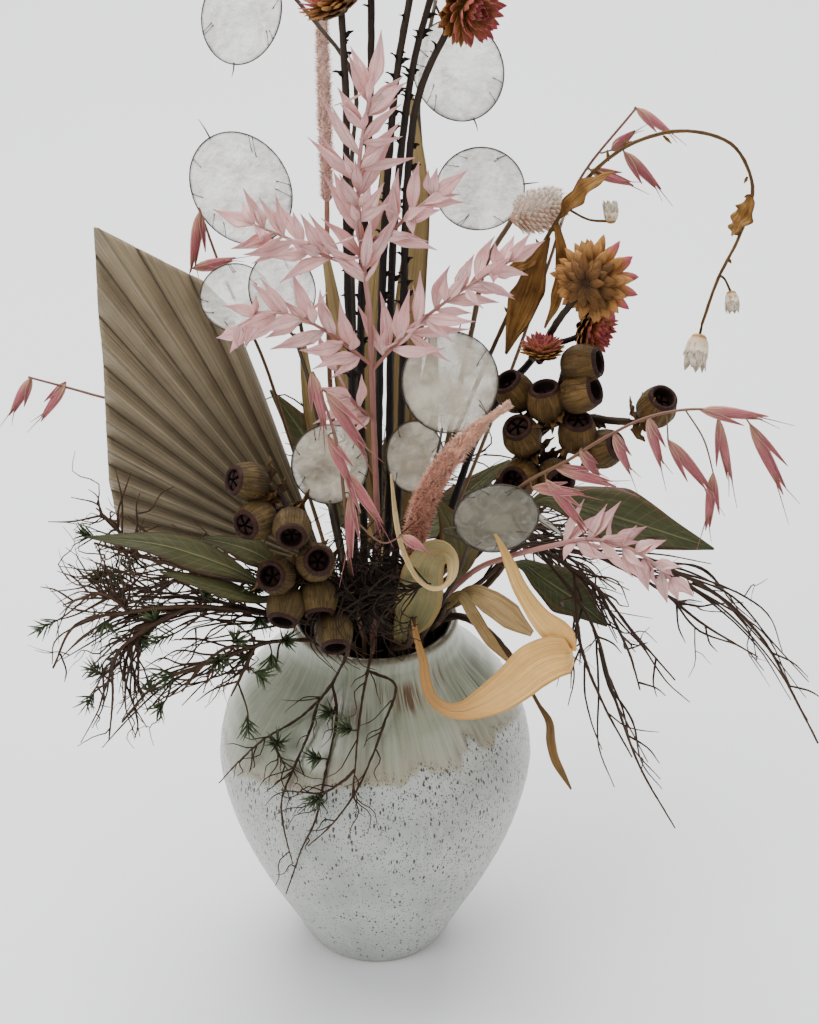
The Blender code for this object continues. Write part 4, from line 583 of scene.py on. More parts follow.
def make_palm_fan():
    """The fan's panels from the stalk to the trimmed edge, and the stalk."""
    rng = random.Random(7)
    skin = Skin()
    grid = []
    tones = [rng.uniform(-1, 1) for k in range(FAN_FOLDS + 1)]
    for k in range(FAN_ROWS):
        share = 0.05 + 0.95 * k / (FAN_ROWS - 1)
        points = [fan_point(n / PANEL_STEPS, share) for n in range(FAN_FOLDS * PANEL_STEPS + 1)]
        grid.append([(point, (share, saw, tones[n // PANEL_STEPS])) for n, (point, saw) in enumerate(points)])
    sheet(skin, grid, 0.7)
    stem(skin, (-2, 0), seen_line([(340, 600, -3), (325, 566, -6), (312, 548, -8)]), 5, 4,
         (2.4, 2.9, 3.4), 10, 1)
    return skin


def pleat_shade_and_highlight(tree, colour):
    """Painted shade in the valleys and painted highlights on the ridges."""
    across = read_mark(tree)[1]
    colour = (across.ramp(-0.75, -0.98) * 0.5).blend(colour, srgb(17, 14, 8))
    return (across.ramp(0.86, 0.97) * 0.7).blend(colour, srgb(62, 56, 43))


# Root colour far darker than the tip: painted shade toward the stalk at the fan's lower right, where other
# stems shade it
PALM_PANEL = tissue("palm_panel", 0.25, ((35, 30, 20), (58, 52, 42), (32, 26, 18), (37, 32, 21)),
                    (9, 0.45, 60, 0.25, 0, 0.10, 0.1, 0.85), {"Specular IOR Level": 0.35}, pleat_shade_and_highlight)
PALM_BLADE = tissue("palm_blade", 0.25, ((54, 44, 28), (73, 63, 43), (46, 36, 20), (34, 24, 13)),
                    (7, 0.5, 45, 0.3, 0.75, 0.12, 0.2, 0.8))
keep("pleated_palm_fan", make_palm_fan(), [PALM_PANEL, PALM_BLADE], "palm_fan", "palm")


# Palm spear: a young palm leaf that dried before it opened.
# Its long stiff blades are folded along their middle and part toward their tips.
# It stands behind the centre on one flat stalk.
SPEAR_BLADES = [
    ([(398, 430), (409, 300), (420, 190), (411, 96)], (3, 8, 12, 13, 2)),
    ([(354, 440), (338, 330), (322, 235)], (3, 8, 9, 2)),
    ([(412, 480), (428, 400), (434, 325)], (3, 9, 12, 2)),
    ([(370, 430), (371, 320), (386, 158)], (3, 7, 9, 3)),
    ([(340, 490), (314, 420), (302, 335)], (3, 8, 9, 2)),
]
SPEAR_NEAR = -40.0


def leaf(skin, path, widths, face, thick, cup=0.0, fold=0.0, ripple=0.0, across=6, finish=0,
         tone=0.0, lens=0.75, roll=0.0):
    """Thin leaf along a path: widths in mm, cupped, folded, rippled and rolled as shares."""
    last = len(path) - 1
    grid = []
    for k, place in enumerate(path):
        share = k / last
        way = way_at(path, k)
        look = face if isinstance(face, Vector) else along(face, share)[0]
        turn = Matrix.Rotation(roll * share, 3, way)
        side = way.cross(look).normalized()
        rise = turn @ side.cross(way)
        side = turn @ side
        half = max(read_along(widths, share), 0.12) * 0.5 * MM
        row = []
        for n in range(across + 1):
            s = 2.0 * n / across - 1.0
            lift = cup * s * s + fold * abs(s)
            if ripple:
                lift += ripple * s * sin(share * 17.0 + tone * 9.0 + s * 1.3)
                lift += ripple * 0.6 * noise.noise(place * 180 + side * s * 1.7)
            row.append((place + side * half * s + rise * half * lift, (share, s, tone)))
        grid.append(row)
    sheet(skin, grid, thick, finish, lens)


def along(path, share):
    """Place and direction at a share of the way along a path."""
    spot = min(max(share, 0.0), 0.999) * (len(path) - 1)
    step = int(spot)
    place = path[step].lerp(path[step + 1], spot - step)
    return place, (path[step + 1] - path[step]).normalized()


def pointed(widths, count=9):
    """Smooth list of leaf widths through a few given ones."""
    spread = smooth([Vector((k * 4, w, 0)) for k, w in enumerate(widths)], count)
    return [max(p.y, 0.12) for p in spread]


def make_palm_spear():
    """Stalk and blades; each blade starts inside the stalk's top."""
    skin = Skin()
    stalk = stem(skin, (0, -2), seen_line([(381, 578, -18), (383, 550, -32)]), 4, 4, (2.4, 2.5, 2.6), 8, 0)
    start = nearest([stalk[2:]], stalk[-1])
    for n, (spots, widths) in enumerate(SPEAR_BLADES):
        points = [start] + [seen(x, y, SPEAR_NEAR - 1.5 * n) for x, y in spots]
        leaf(skin, smooth(smooth(points, 6), 30), pointed(widths, 14), facing(-0.25 + 0.12 * n, 0.0), 0.7,
             fold=-0.30, ripple=0.02, across=10, tone=n * 0.4 - 0.8, lens=0.4)
    return skin


keep("palm_spear_blades", make_palm_spear(), [PALM_BLADE], "palm_spear", "palm")


# Honesty: dry branched stems, each stalk ending in the silvery middle wall of a flat seed pod.
# The wall is a papery see-through disc in a wiry dark rim, with the rest of the style at its tip
# and short dark seed stalks that run in from the rim.
HONESTY = [
    # Name, place on the floor, points of the stem and pods. A pod has its middle, half length and half
    # width in mm, turn in degrees, lean to the right and up, length of its style and its wall's finish
    ("honesty_top", (-1, -2),
     [(366, 545, -22), (357, 420, -30), (352, 250, -30), (352, 120, -28), (352, 53, -28),
      (322, 26, -30), (290, -4, -34), (262, -40, -40), (250, -52, -40)],
     [((242, 14, -28), 20, 16, 8, (-0.2, 0.1), 5, 0)]),
    ("honesty_back_left", (-2, -3), [(338, 552, -34), (318, 430, -54), (302, 330, -60), (290, 270, -58)],
     [((241, 188, -54), 24.5, 20, 148, (0.12, 0), 9, 0)]),
    ("honesty_right_back", (0, -3),
     [(401, 550, -38), (415, 420, -52), (423, 290, -58), (422, 150, -62), (418, 60, -66),
      (424, 14, -70), (436, 0, -72)],
     [((458, 70, -58), 21, 18.5, -18, (0.1, 0), 5, 0),
      ((480, 189, -54), 18.5, 17.5, -96, (-0.1, 0.1), 6, 0)]),
    ("honesty_left", (-2, 1),
     [(345, 570, 2), (333, 500, 0), (318, 420, -4), (304, 360, -6), (294, 334, -6)],
     [((282, 290, -12), 16, 13.5, 168, (0.1, 0), 4, 0), ((236, 298, -16), 15, 14, 118, (0, 0.1), 0, 0),
      ((330, 464, 12), 16.5, 16, 180, (0.1, 0), 0, 2)]),
    ("honesty_front", (1, 1), [(418, 560, 12), (424, 500, 20), (436, 456, 24)],
     [((450, 382, 23), 20.5, 19.5, 190, (0.1, 0.05), 5, 2), ((415, 457, 8), 15, 12, 180, (0.1, 0), 0, 2)]),
    ("honesty_low", (2, 3), [(446, 594, 24), (462, 566, 30), (470, 542, 34)],
     [((496, 518, 45), 17.5, 14, -104, (-0.1, -0.3), 0, 3), ((528, 512, 24), 17, 14, 0, (5, 8), 0, 2)]),
]
POD_RINGS = 12
POD_STEPS = 48
RIM_STEPS = 64
# Pairs of seed stalks on a wall: turn round its rim in degrees, slant and length as a share of it
SEED_STALKS = ((28, 0.5, 0.30), (152, -0.4, 0.34), (214, 0.3, 0.36), (318, -0.6, 0.28))


def pod(skin, paths, spot, long_half, wide_half, turn, lean, tail, wall, rng):
    """Flat pod wall, its rim, style, seed stalks and the stalk that holds it."""
    centre = seen(*spot)
    face = facing(*lean)
    up = (VIEW_UP - face * VIEW_UP.dot(face)).normalized()
    side = up.cross(face)
    long_way = up * cos(radians(turn)) + side * sin(radians(turn))
    wide_way = long_way.cross(face)
    tone = rng.uniform(-1, 1)

    def on_wall(x, y, off):
        """Place on the wall at shares of its half sizes, off mm in front of it."""
        dish = 0.9 * (x * x - y * y * 0.6)
        dish += 1.1 * noise.noise(Vector((x * 1.9, y * 1.9, tone * 20))) * (1.0 - (x * x + y * y)) ** 0.5
        return centre + (long_way * y * long_half + wide_way * x * wide_half + face * (dish + off)) * MM

    rows = []
    rings = [k / POD_RINGS for k in range(POD_RINGS + 1)]
    for off, shares in ((0.22, rings), (-0.22, rings[-2::-1])):
        for share in shares:
            reach = max(share, 0.01) * 0.995
            spots = [(cos(tau * n / POD_STEPS) * reach, sin(tau * n / POD_STEPS) * reach)
                     for n in range(POD_STEPS)]
            rows.append([(on_wall(x, y, off * (1 - share ** 4)), (share, 0.5 + 0.4 * x, tone))
                         for x, y in spots])
    skin.rows(rows, wall)
    rim = [on_wall(cos(tau * k / RIM_STEPS) * 0.9999, sin(tau * k / RIM_STEPS) * 0.9999, 0.0)
           for k in range(RIM_STEPS + 1)]
    tube(skin, rim, (0.28, 0.24, 0.28), 5, 1)
    for around, slant, length in SEED_STALKS:
        for step in (-0.11, 0.11):
            turn = radians(around + rng.uniform(-14, 14)) + step * rng.uniform(0.8, 2.0)
            inward = turn + pi + slant * rng.uniform(0.5, 1.2)
            reach = length * rng.uniform(0.7, 1.2)
            line = [on_wall(cos(turn) * 0.985 + cos(inward + 0.1 * s) * reach * s,
                            sin(turn) * 0.985 + sin(inward + 0.1 * s) * reach * s, 0.3)
                    for s in (0.0, 0.35, 0.7, 0.93, 1.0)]
            if rng.random() < 0.8:
                tube(skin, line, (0.15, 0.12, 0.12, 0.26, 0.10), 5, 1)
    base = centre + long_way * (long_half - 1.5) * MM
    joint = nearest(paths, base + long_way * 8 * MM)
    bend = base + long_way * min(6 * MM, (joint - base).length * 0.4)
    tube(skin, smooth([joint, bend, base], 9), (0.65, 0.5, 0.55, 0.5), 6, 1)
    if tail:
        tube(skin, [centre - long_way * (long_half - 0.5) * MM,
                    centre - long_way * (long_half + tail * 0.5) * MM + side * 0.3 * MM,
                    centre - long_way * (long_half + tail) * MM], (0.40, 0.28, 0.12), 5, 1)


def pod_wall(name, colours, clear, fold_shade, fold_highlight):
    """Pearly see-through wall with soft folds where a coarse noise crosses its middle, with painted shade and
    painted highlights along the folds.
    """

    def folds(tree, colour):
        """Painted shade and painted highlight on the two sides of the folds, with the wall's relief and
        clearness.
        """
        place = place_of(tree)
        ridge = (place.cloud(60) - 0.5).sums("ABSOLUTE")
        shader = tree.nodes["Principled BSDF"]
        set_bump(shader, place.cloud(130, 4, 0.6), 3.0)
        join(shader, "Alpha", place.cloud(90, 3, 0.55).ramp(0.35, 0.70, clear, 0.92))
        # Painted shade beside each fold, and a painted highlight along its crest
        shaded = ridge.ramp(0.14, 0.05, 0.0, 0.55).blend(colour, srgb(*fold_shade))
        return ridge.ramp(0.05, 0.0, 0.0, 0.6).blend(shaded, srgb(*fold_highlight))

    return tissue(name, 0, colours, (3, 0.12, 85, 0.4, 0, 0.05, 0.72),
                  {"Coat Weight": 0.4, "Coat Roughness": 0.22, "Subsurface Weight": 0.3,
                   "Subsurface Scale": 0.004, "Subsurface Radius": (1.0, 1.0, 0.9)}, folds)


def make_honesty(seed, place, points, pods):
    """Branched stem with its pods."""
    rng = random.Random(seed)
    skin = Skin()
    path = stem(skin, place, seen_line(points), len(points) + 1, 4, (1.3, 1.15, 0.95, 0.8), 7, 1, 0.25)
    for one in pods:
        pod(skin, [path[2:]], *one, rng)
    return skin


def keep_all(prefix, plans, make, seed, finishes, slot_name):
    """Make and keep one piece from each plan, with seeds that count up from the first."""
    for order, (name, *plan) in enumerate(plans):
        keep(prefix + name, make(seed + order, *plan), finishes, name, slot_name)


keep_all("papery_", HONESTY, make_honesty, 60, [
    pod_wall("pod_wall", ((97, 97, 95), (94, 93, 90), (80, 77, 72), (63, 60, 53)), 0.42,
             (80, 79, 75), (100, 100, 98)),
    tissue("pod_rim", 0.1, ((25, 21, 17), (32, 28, 23), (15, 12, 9), (17, 14, 10)), (2, 0.4, 300, 0.3, 0)),
    pod_wall("dim_pod_wall", ((82, 78, 70), (72, 68, 59), (48, 43, 34), (56, 51, 42)), 0.52,
             (66, 62, 54), (80, 77, 70)),
    pod_wall("old_pod_wall", ((47, 45, 38), (39, 37, 30), (18, 16, 12), (30, 27, 21)), 0.78,
             (30, 27, 22), (46, 44, 37))], "pod")


# Gum nuts: woody seed cups on short stalks, an olive cluster at the left and a dark one at the right.
# Each has a ribbed barrel body and a smooth maroon rim round its mouth; some still show the star
# of their closed valves, and the others are open and dark inside.
NUT_SIZE = 8.2
NUT_STEPS = 40
# Half section of a nut from its inner floor over the rim to its base: radius, height and finish
NUT_SECTION = [(0.01, 0.05, 2), (0.30, 0.08, 2), (0.46, 0.24, 2), (0.53, 0.50, 2), (0.54, 0.74, 2),
               (0.53, 0.84, 1), (0.56, 0.92, 1), (0.62, 0.955, 1), (0.68, 0.94, 1), (0.73, 0.90, 1),
               (0.755, 0.84, 1), (0.775, 0.78, 0), (0.85, 0.60, 0), (0.93, 0.36, 0),
               (0.98, 0.12, 0), (0.985, -0.12, 0), (0.95, -0.38, 0), (0.86, -0.62, 0),
               (0.70, -0.83, 0), (0.46, -0.99, 0), (0.20, -1.08, 0), (0.01, -1.11, 0)]


def spokes(axis):
    """Function from a turn round an axis to the unit direction out from it."""
    first = axis.orthogonal().normalized()
    second = axis.cross(first)
    return lambda turn: first * cos(turn) + second * sin(turn)


def nut(skin, middle, way, closed, rng):
    """One cup turned round its own axis, with ribs and dents."""
    out_at = spokes(way)
    tone = rng.uniform(-1, 1)
    ribs = rng.choice((7, 8, 9))
    rows = []
    for radius, height, part in NUT_SECTION:
        row = []
        for n in range(NUT_STEPS):
            turn = tau * n / NUT_STEPS
            out = out_at(turn)
            grow = 1.0
            if part == 0:
                grow += 0.018 * sin(turn * ribs + tone * 9) * (1 - height * height)
                grow += 0.045 * noise.noise(out * 1.6 + way * (height * 0.7 + tone * 20))
                grow += 0.012 * noise.noise(out * 7 + way * (height * 1.5 + tone * 20))
            row.append((middle + (out * radius * grow + way * height) * NUT_SIZE * MM,
                        ((1 - height) / 2.1, sin(turn * 2.5), tone)))
        rows.append(row)
    first_face = len(skin.faces)
    skin.rows(rows)
    bands = [part for _, _, part in NUT_SECTION[:-1] for n in range(NUT_STEPS)]
    skin.finish[first_face:] = bands + [2, 0]
    depth = 0.80 if closed else 0.42
    for k in range(5):
        out = out_at(tau * k / 5 + tone)
        root = middle + (out * 0.50 + way * (depth - 0.04)) * NUT_SIZE * MM
        tip = middle + (out * 0.10 + way * (depth + 0.06)) * NUT_SIZE * MM
        leaf(skin, smooth([root, root.lerp(tip, 0.5) + way * 0.4 * MM, tip], 6),
             (3.6, 3.2, 2.2, 1.2, 0.3), way, 0.5, cup=-0.25, across=4, finish=1, tone=tone)


def nut_finishes(name, light, dark):
    """Woody body, maroon rim, dark inside, stem and withered scraps."""
    return [tissue(name + "_body", 0.45, (light, dark, dark, dark), (7, 0.55, 260, 0.55, 0, 0.22, 0.3, 1.1)),
            tissue(name + "_rim", 0.15, ((20, 9, 5.5), (16.5, 7, 4), (8, 4, 2.5), (33, 20, 12)),
                   (10, 0.5, 420, 0.5, 0, 0.15)),
            tissue(name + "_inside", 0.3, ((13, 8, 6), (8, 5, 4), (5, 3, 3), (10, 7, 5)),
                   (6, 0.5, 300, 0.3, 0)), NUT_STEM, SCRAP_BROWN]


def make_gumnuts(seed, place, spots, nuts, closed, scraps):
    """Stem with short stalks and nuts, and withered scraps along the stalks."""
    rng = random.Random(seed)
    skin = Skin()
    path = stem(skin, place, seen_line(spots), 6, 6, (2.0, 1.9, 1.8, 1.7), 9, 3, 0.35)
    for n, (spot, mouth) in enumerate(nuts):
        way = facing(*mouth)
        middle = seen(*spot)
        base = middle - way * NUT_SIZE * 0.8 * MM
        joint = nearest([path[2:]], base)
        stalk = smooth([joint, joint.lerp(base, 0.6) - way * 3 * MM, base], 12)
        tube(skin, stalk, (1.5, 1.2, 1.35, 2.1), 8, 3, knots=0.3)
        nut(skin, middle, way, n in closed, rng)
        for k in range(scraps):
            start, heading = along(stalk, rng.uniform(0.0, 0.95))
            out = (heading.orthogonal() * rng.uniform(-1, 1) + TOWARD * rng.uniform(-0.3, 1)
                   + VIEW_UP * rng.uniform(-0.6, 0.9)).normalized()
            length = rng.uniform(7, 17) * MM
            line = [start, start + out * length * 0.5, start + out * length + heading * 2 * MM]
            leaf(skin, smooth(line, 7), (1.4, 4.5, 3.6, 0.6), facing(0.2, 0.3), 0.4, cup=0.5, ripple=0.7,
                 finish=4, tone=rng.uniform(-1, 1), roll=1.6)
    return skin


NUT_STEM = tissue("nut_stem", 0.25, ((16, 10, 7), (24, 17, 10), (8, 5, 4), (27, 19, 12)), (3, 0.6, 320, 0.4))
SCRAP_BROWN = tissue("withered_scrap", 0.3, ((36, 25, 12), (50, 37, 20), (20, 12, 5), (26, 16, 7)),
                     (5, 0.6, 220, 0.5, 0.5, 0.3))
# Each nut: its middle, and the way its mouth looks
keep("ribbed_gumnuts_left", make_gumnuts(
    11, (-3, 2), [(330, 612, 24), (314, 580, 32), (300, 540, 36), (288, 505, 34)],
    [((248, 482, 34), (-0.8, 0.1, 0.6)), ((256, 520, 42), (-0.6, -0.3, 0.8)),
     ((292, 528, 46), (0.0, -0.5, 0.8)), ((276, 576, 48), (-0.3, 0.0, 1.0)),
     ((316, 562, 47), (0.2, 0.1, 1.0)), ((286, 606, 50), (-0.2, -0.9, 0.5)),
     ((318, 598, 46), (0.1, -1.0, 0.4)), ((334, 632, 50), (0.1, -0.9, 0.5))], (0, 1), 8),
     nut_finishes("olive_nut", (35, 27.5, 14.5), (14, 9.5, 4.5)), "gumnuts_left", "gumnut_olive")
keep("ribbed_gumnuts_right", make_gumnuts(
    12, (2, 0), [(450, 560, 6), (494, 490, 8), (528, 446, 8), (560, 420, 8), (600, 418, 10), (630, 422, 12)],
    [((657, 407, 14), (0.3, 0.5, 0.8)), ((577, 433, 18), (0.0, 0.7, 0.7)),
     ((603, 449, 18), (0.7, 0.2, 0.6)), ((582, 364, 10), (0.9, 0.1, 0.4)),
     ((580, 394, 16), (0.8, 0.2, 0.5)), ((547, 402, 14), (-0.2, 0.8, 0.6)),
     ((522, 436, 17), (-0.3, 0.5, 0.8)), ((556, 478, 20), (0.2, -0.3, 0.9)),
     ((515, 392, 6), (-0.5, 0.6, 0.6)), ((519, 478, 22), (-0.4, -0.2, 0.9))], (1, 6), 7),
     nut_finishes("dark_nut", (38, 28, 13), (17, 11.5, 5)), "gumnuts_right", "gumnut_dark")


# Broad leaves: grey-green gum leaves, buff strap leaves that curl over, and one narrow brown leaf.
# They are thin dried blades on short stems. The strap leaf in front loops back on itself, and the
# one at the right folds over and comes up again.
GUM_LEAVES = [
    # Name, place on the floor, points of the stem and blades. A blade has its points, widths in mm and
    # the way that it faces, which a strap leaf has at each of its points
    ("gum_leaves_left", (-3, 0), [(300, 604, 16), (280, 588, 28)], [
        ([(270, 588, 34), (225, 566, 42), (160, 545, 44), (87, 537, 40)], (2, 15, 17, 10, 1), (0.0, 0.9)),
        ([(284, 578, 26), (262, 557, 28), (232, 545, 28), (200, 538, 28)], (2, 13, 14, 8, 1), (0.2, 0.7)),
        ([(266, 600, 40), (226, 590, 50), (190, 580, 54), (160, 572, 54)], (2, 9, 10, 6, 1), (0.0, 0.8))]),
    ("gum_leaf_right", (3, -2), [(470, 560, -16), (520, 510, -8)], [
        ([(550, 498, -4), (600, 512, 0), (650, 528, 2), (714, 549, 0)], (3, 25, 29, 18, 1), (0.1, 0.5))]),
    ("gum_leaf_dark", (3, -1), [(480, 590, -10), (506, 562, -8)], [
        ([(518, 562, -8), (545, 580, -6), (575, 600, -4), (607, 626, -2)], (3, 20, 22, 13, 1), (0.2, 0.5))]),
    ("gum_leaf_middle", (2, 1), [(442, 602, 11), (452, 586, 12)], [
        ([(456, 578, 12), (462, 552, 13), (452, 524, 14), (436, 500, 14)], (3, 15, 17, 11, 1), (-0.3, 0.1))]),
]
STRAP_LEAVES = [
    ("strap_leaf_curled", (1, 3), [(404, 650, 22)], [
        ([(403, 648, 24), (405, 630, 27), (414, 614, 31), (419, 600, 34), (421, 584, 38), (423, 569, 41),
          (430, 556, 45), (442, 550, 50), (453, 557, 54), (454, 573, 58), (446, 587, 60), (432, 590, 60),
          (418, 581, 59), (408, 564, 57), (400, 542, 55), (395, 515, 53), (391, 474, 50)],
         (6, 10, 17, 19, 18.5, 17, 14, 12, 10, 8, 7, 6.5, 5.5, 4.5, 3.5, 3, 1),
         [(0, 0.1)] * 3 + [(0, 0), (0, -0.1), (0.1, -0.3), (0, -0.8), (-0.8, -1), (-2, -0.4), (-1.6, 0.8),
                           (-0.6, 1.6, 0.4), (0.3, 2, 0.4), (1.2, 1.4, 0.5), (1.6, 0.6, 0.7),
                           (1.4, 0.3, 0.9), (1, 0.2), (1, 0.1)])]),
    ("strap_leaf_lower", (1, 4), [(408, 644, 30), (411, 626, 35)], [
        ([(413, 618, 38), (417, 640, 44), (423, 661, 50), (426, 684, 58), (433, 700, 63), (447, 710, 66),
          (463, 711, 67), (480, 705, 68), (497, 696, 68), (515, 683, 68), (533, 667, 66), (551, 658, 64),
          (571, 653, 61), (557, 634, 58), (542, 620, 56), (530, 604, 54), (519, 586, 53), (511, 567, 52),
          (503, 549, 51), (495, 534, 50)],
         (2, 3, 4, 5, 5, 6, 8, 12, 15, 17, 19, 18, 14, 12, 9, 7, 6, 5, 3, 1),
         [(0.4, 0.2), (0.5, 0.3), (0.5, 0.4), (0.4, 0.4), (0.3, 0.5), (0.1, 0.5), (0, 0.4), (0, 0.4),
          (0, 0.3), (0, 0.3), (0.1, 0.3), (0.4, 0.2), (2.2, 0.2, 0.1), (0.6, -0.2, -1)]
         + [(0.2, -0.3, -1)] * 4 + [(0.3, -0.3, -1)] * 2)]),
    ("strap_leaf_folded", (3, 2), [(440, 620, 20)], [
        ([(446, 606, 26), (461, 596, 31), (474, 616, 37), (491, 642, 43), (511, 664, 48)],
         (3, 5, 5.5, 5, 1), [(0.2, 0.4)] * 5),
        ([(452, 606, 24), (470, 594, 28), (490, 603, 32), (510, 618, 36), (532, 634, 39)],
         (3, 8, 12.5, 13, 3), [(0.3, 0.6)] * 5)]),
]
NARROW_LEAF = [("narrow_leaf", (3, 1), [(470, 618, 22), (505, 650, 34), (530, 688, 42)], [
    ([(532, 694, 44), (550, 725, 46), (552, 752, 46), (571, 789, 44)], (2, 5, 5, 4, 1), (0.6, 0.2))])]
BACK_LEAVES = [("gum_leaves_back", (-1, -4), [(368, 548, -42), (370, 524, -58)], [
    ([(352, 530, -62), (330, 480, -76), (300, 430, -84), (270, 390, -88)], (3, 20, 22, 13, 1), (0.2, 0.2)),
    ([(380, 515, -70), (400, 470, -80), (410, 420, -88), (430, 370, -94)], (3, 19, 21, 12, 1), (-0.2, 0.2)),
    ([(396, 535, -62), (440, 520, -80), (470, 490, -92), (510, 460, -98)], (3, 19, 21, 12, 1), (-0.4, 0.3))])]
# Root, tip, fibre and edge colours of each piece
LEAF_COLOURS = {
    "gum_leaves_left": ((29, 29, 17), (23, 23.5, 13), (16, 16.5, 8.5), (20, 16, 9)),
    "gum_leaf_right": ((29, 30, 18), (22, 24, 13), (15, 17, 9), (20, 15, 8)),
    "gum_leaf_dark": ((26, 29, 17), (20, 23, 12), (14, 16, 8), (17, 14, 6)),
    "gum_leaf_middle": ((42, 42, 29), (37, 36, 24), (30, 30, 18), (31, 25, 14)),
    "strap_leaf_curled": ((41, 41, 28), (90, 79, 58), (60, 50, 32), (52, 36, 19)),
    "strap_leaf_lower": ((66, 50, 31), (88, 71, 43), (74, 55, 30), (50, 33, 17)),
    "strap_leaf_folded": ((50, 45, 29), (72, 61, 43), (45, 36, 20), (36, 24, 12)),
    "narrow_leaf": ((45, 33, 17), (56, 42, 21), (32, 21, 9), (22, 13, 5)),
    "gum_leaves_back": ((29, 30, 18), (24, 26, 15), (16, 18, 10), (20, 16, 9)),
}


def midrib(tree, colour):
    """Pale midrib line and side veins."""
    reach, across, _ = read_mark(tree)
    away = across.sums("ABSOLUTE")
    slant = reach * 16 - away * 1.6
    wave = (slant.sums("FRACT") - 0.5).sums("ABSOLUTE")
    line = away.ramp(0.055, 0.02, 0.0, 0.45).sums("MAXIMUM", wave.ramp(0.10, 0.0, 0.0, 0.13))
    return line.blend(colour, srgb(50, 48, 33))


def leaf_finish(name, strap):
    """Dried blade, ribbed lengthwise on a strap leaf, with a midrib on a gum leaf."""
    look = (8, 0.5, 85, 0.4, 0.3, 0.15) if strap else (2.5, 0.5, 85, 0.4, 0.8, 0.15)
    tips = (0.42, 0.66) if "curled" in name else (0.2, 0.5 if strap else 1.0)
    return tissue(name + "_blade", 0.35, LEAF_COLOURS[name], look + tips,
                  {"Subsurface Weight": 0.08, "Subsurface Scale": 0.002}, None if strap else midrib)


def evened(points, values, count):
    """Values given at points along a line, read again at evenly spaced places."""
    return [values[step] + (values[step + 1] - values[step]) * share
            for step, share in even_spots(points, count)]


def make_leaves(seed, place, spots, blades):
    """Stem with one or more blades."""
    rng = random.Random(seed)
    skin = Skin()
    path = stem(skin, place, seen_line(spots), 5, 6, (1.7, 1.55, 1.4), 8, 1, 0.2)
    for blade, widths, lean in blades:
        points = seen_line(blade)
        tone = rng.uniform(-1, 1)
        if isinstance(lean, list):
            line = smooth(points, len(points) + 2)
            looks = evened(points, [facing(*one) for one in lean], 40)
            joint = nearest([path[1:]], line[0])
            tube(skin, smooth([joint, line[0], line[0].lerp(line[1], 0.5)], 8), (1.2, 1.3, 1.1, 0.5), 7, 1)
            leaf(skin, smooth(points, 96), evened(points, widths, 60), looks, 0.5, fold=0.10, cup=0.08,
                 ripple=0.05, across=12, tone=tone, lens=0.3)
        else:
            line = smooth([nearest([path[1:]], points[0])] + points, 7)
            leaf(skin, smooth(line, 40), pointed([2, *widths], 20), facing(*lean), 0.5, fold=0.16,
                 cup=-0.10, ripple=0.035, across=12, tone=tone)
    return skin


LEAF_STEM = tissue("leaf_stem", 0.2, ((22, 16, 10), (33, 25, 16), (13, 8, 5), (29, 22, 13)),
                   (2.5, 0.5, 300, 0.3, 0.3))
leaf_seed = 100
for leaf_plans, strap, slot_name in ((GUM_LEAVES, False, "leaf_green"), (STRAP_LEAVES, True, "leaf_tan"),
                                     (NARROW_LEAF, True, "leaf_brown"), (BACK_LEAVES, False, "leaf_green")):
    for node_name, *leaf_plan in leaf_plans:
        keep("dried_" + node_name, make_leaves(leaf_seed, *leaf_plan),
             [leaf_finish(node_name, strap), LEAF_STEM], node_name, slot_name)
        leaf_seed += 1


# Strawflowers: papery heads on stiff near-black stems. Rings of stiff pointed bracts overlap round
# a short base, brown and gold at the back and deep pink at the tips of the inner rings.
# Most stand above the rest; one branched stem at the right has three heads.
STRAWFLOWERS = [
    # Name, place on the floor, stem and branches. Each branch has its points, and its head's middle,
    # the way the head looks and its half width in mm
    ("strawflower_a", (-1, 0), [
        ([(354, 545, -4), (353, 400, -6), (348, 300, -8), (346, 200, -10), (346, 100, -12), (342, 40, -12)],
         (335, 0, -12), (-0.4, 0.6, 0.2), 15)]),
    ("strawflower_b", (-1, -1), [
        ([(364, 545, -14), (361, 400, -17), (361, 300, -19), (366, 200, -20), (370, 100, -21),
          (372, 0, -22), (370, -24, -23)], (368, -48, -25), (-0.3, 1.0, -0.4), 15)]),
    ("strawflower_c", (0, 0), [
        ([(378, 545, -2), (379, 400, -4), (382, 300, -6), (386, 200, -8), (394, 100, -10),
          (405, 10, -9), (410, -8, -8)], (416, -30, -6), (0.3, 1.0, 0.5), 15)]),
    ("strawflower_d", (0, -1), [
        ([(388, 545, -14), (390, 400, -19), (391, 300, -22), (396, 200, -24), (408, 100, -26),
          (424, 10, -27), (436, -24, -28)], (446, -48, -29), (0.4, 0.9, -0.3), 15)]),
    ("strawflower_e", (1, 0), [
        ([(396, 545, 0), (402, 400, -2), (404, 300, -2), (406, 200, -3), (416, 110, -4),
          (434, 45, -4), (452, 22, -4)], (469, 8, -4), (0.6, -0.4, 0.6), 16)]),
    ("strawflower_right", (2, -2), [
        ([(438, 545, -16), (480, 430, -16), (520, 372, -10), (548, 342, -6), (560, 318, 4),
          (576, 299, 14)], (594, 281, 5), (0.45, 0.2, -0.85), 18),
        ([(540, 350, -7), (562, 342, -8), (578, 336, -8)], (592, 329, -8), (0.8, -0.4, 0.4), 13.5),
        ([(532, 360, -8), (536, 358, 0), (540, 362, 4)], (542, 350, 5), (0.0, 0.9, 0.4), 10)]),
]
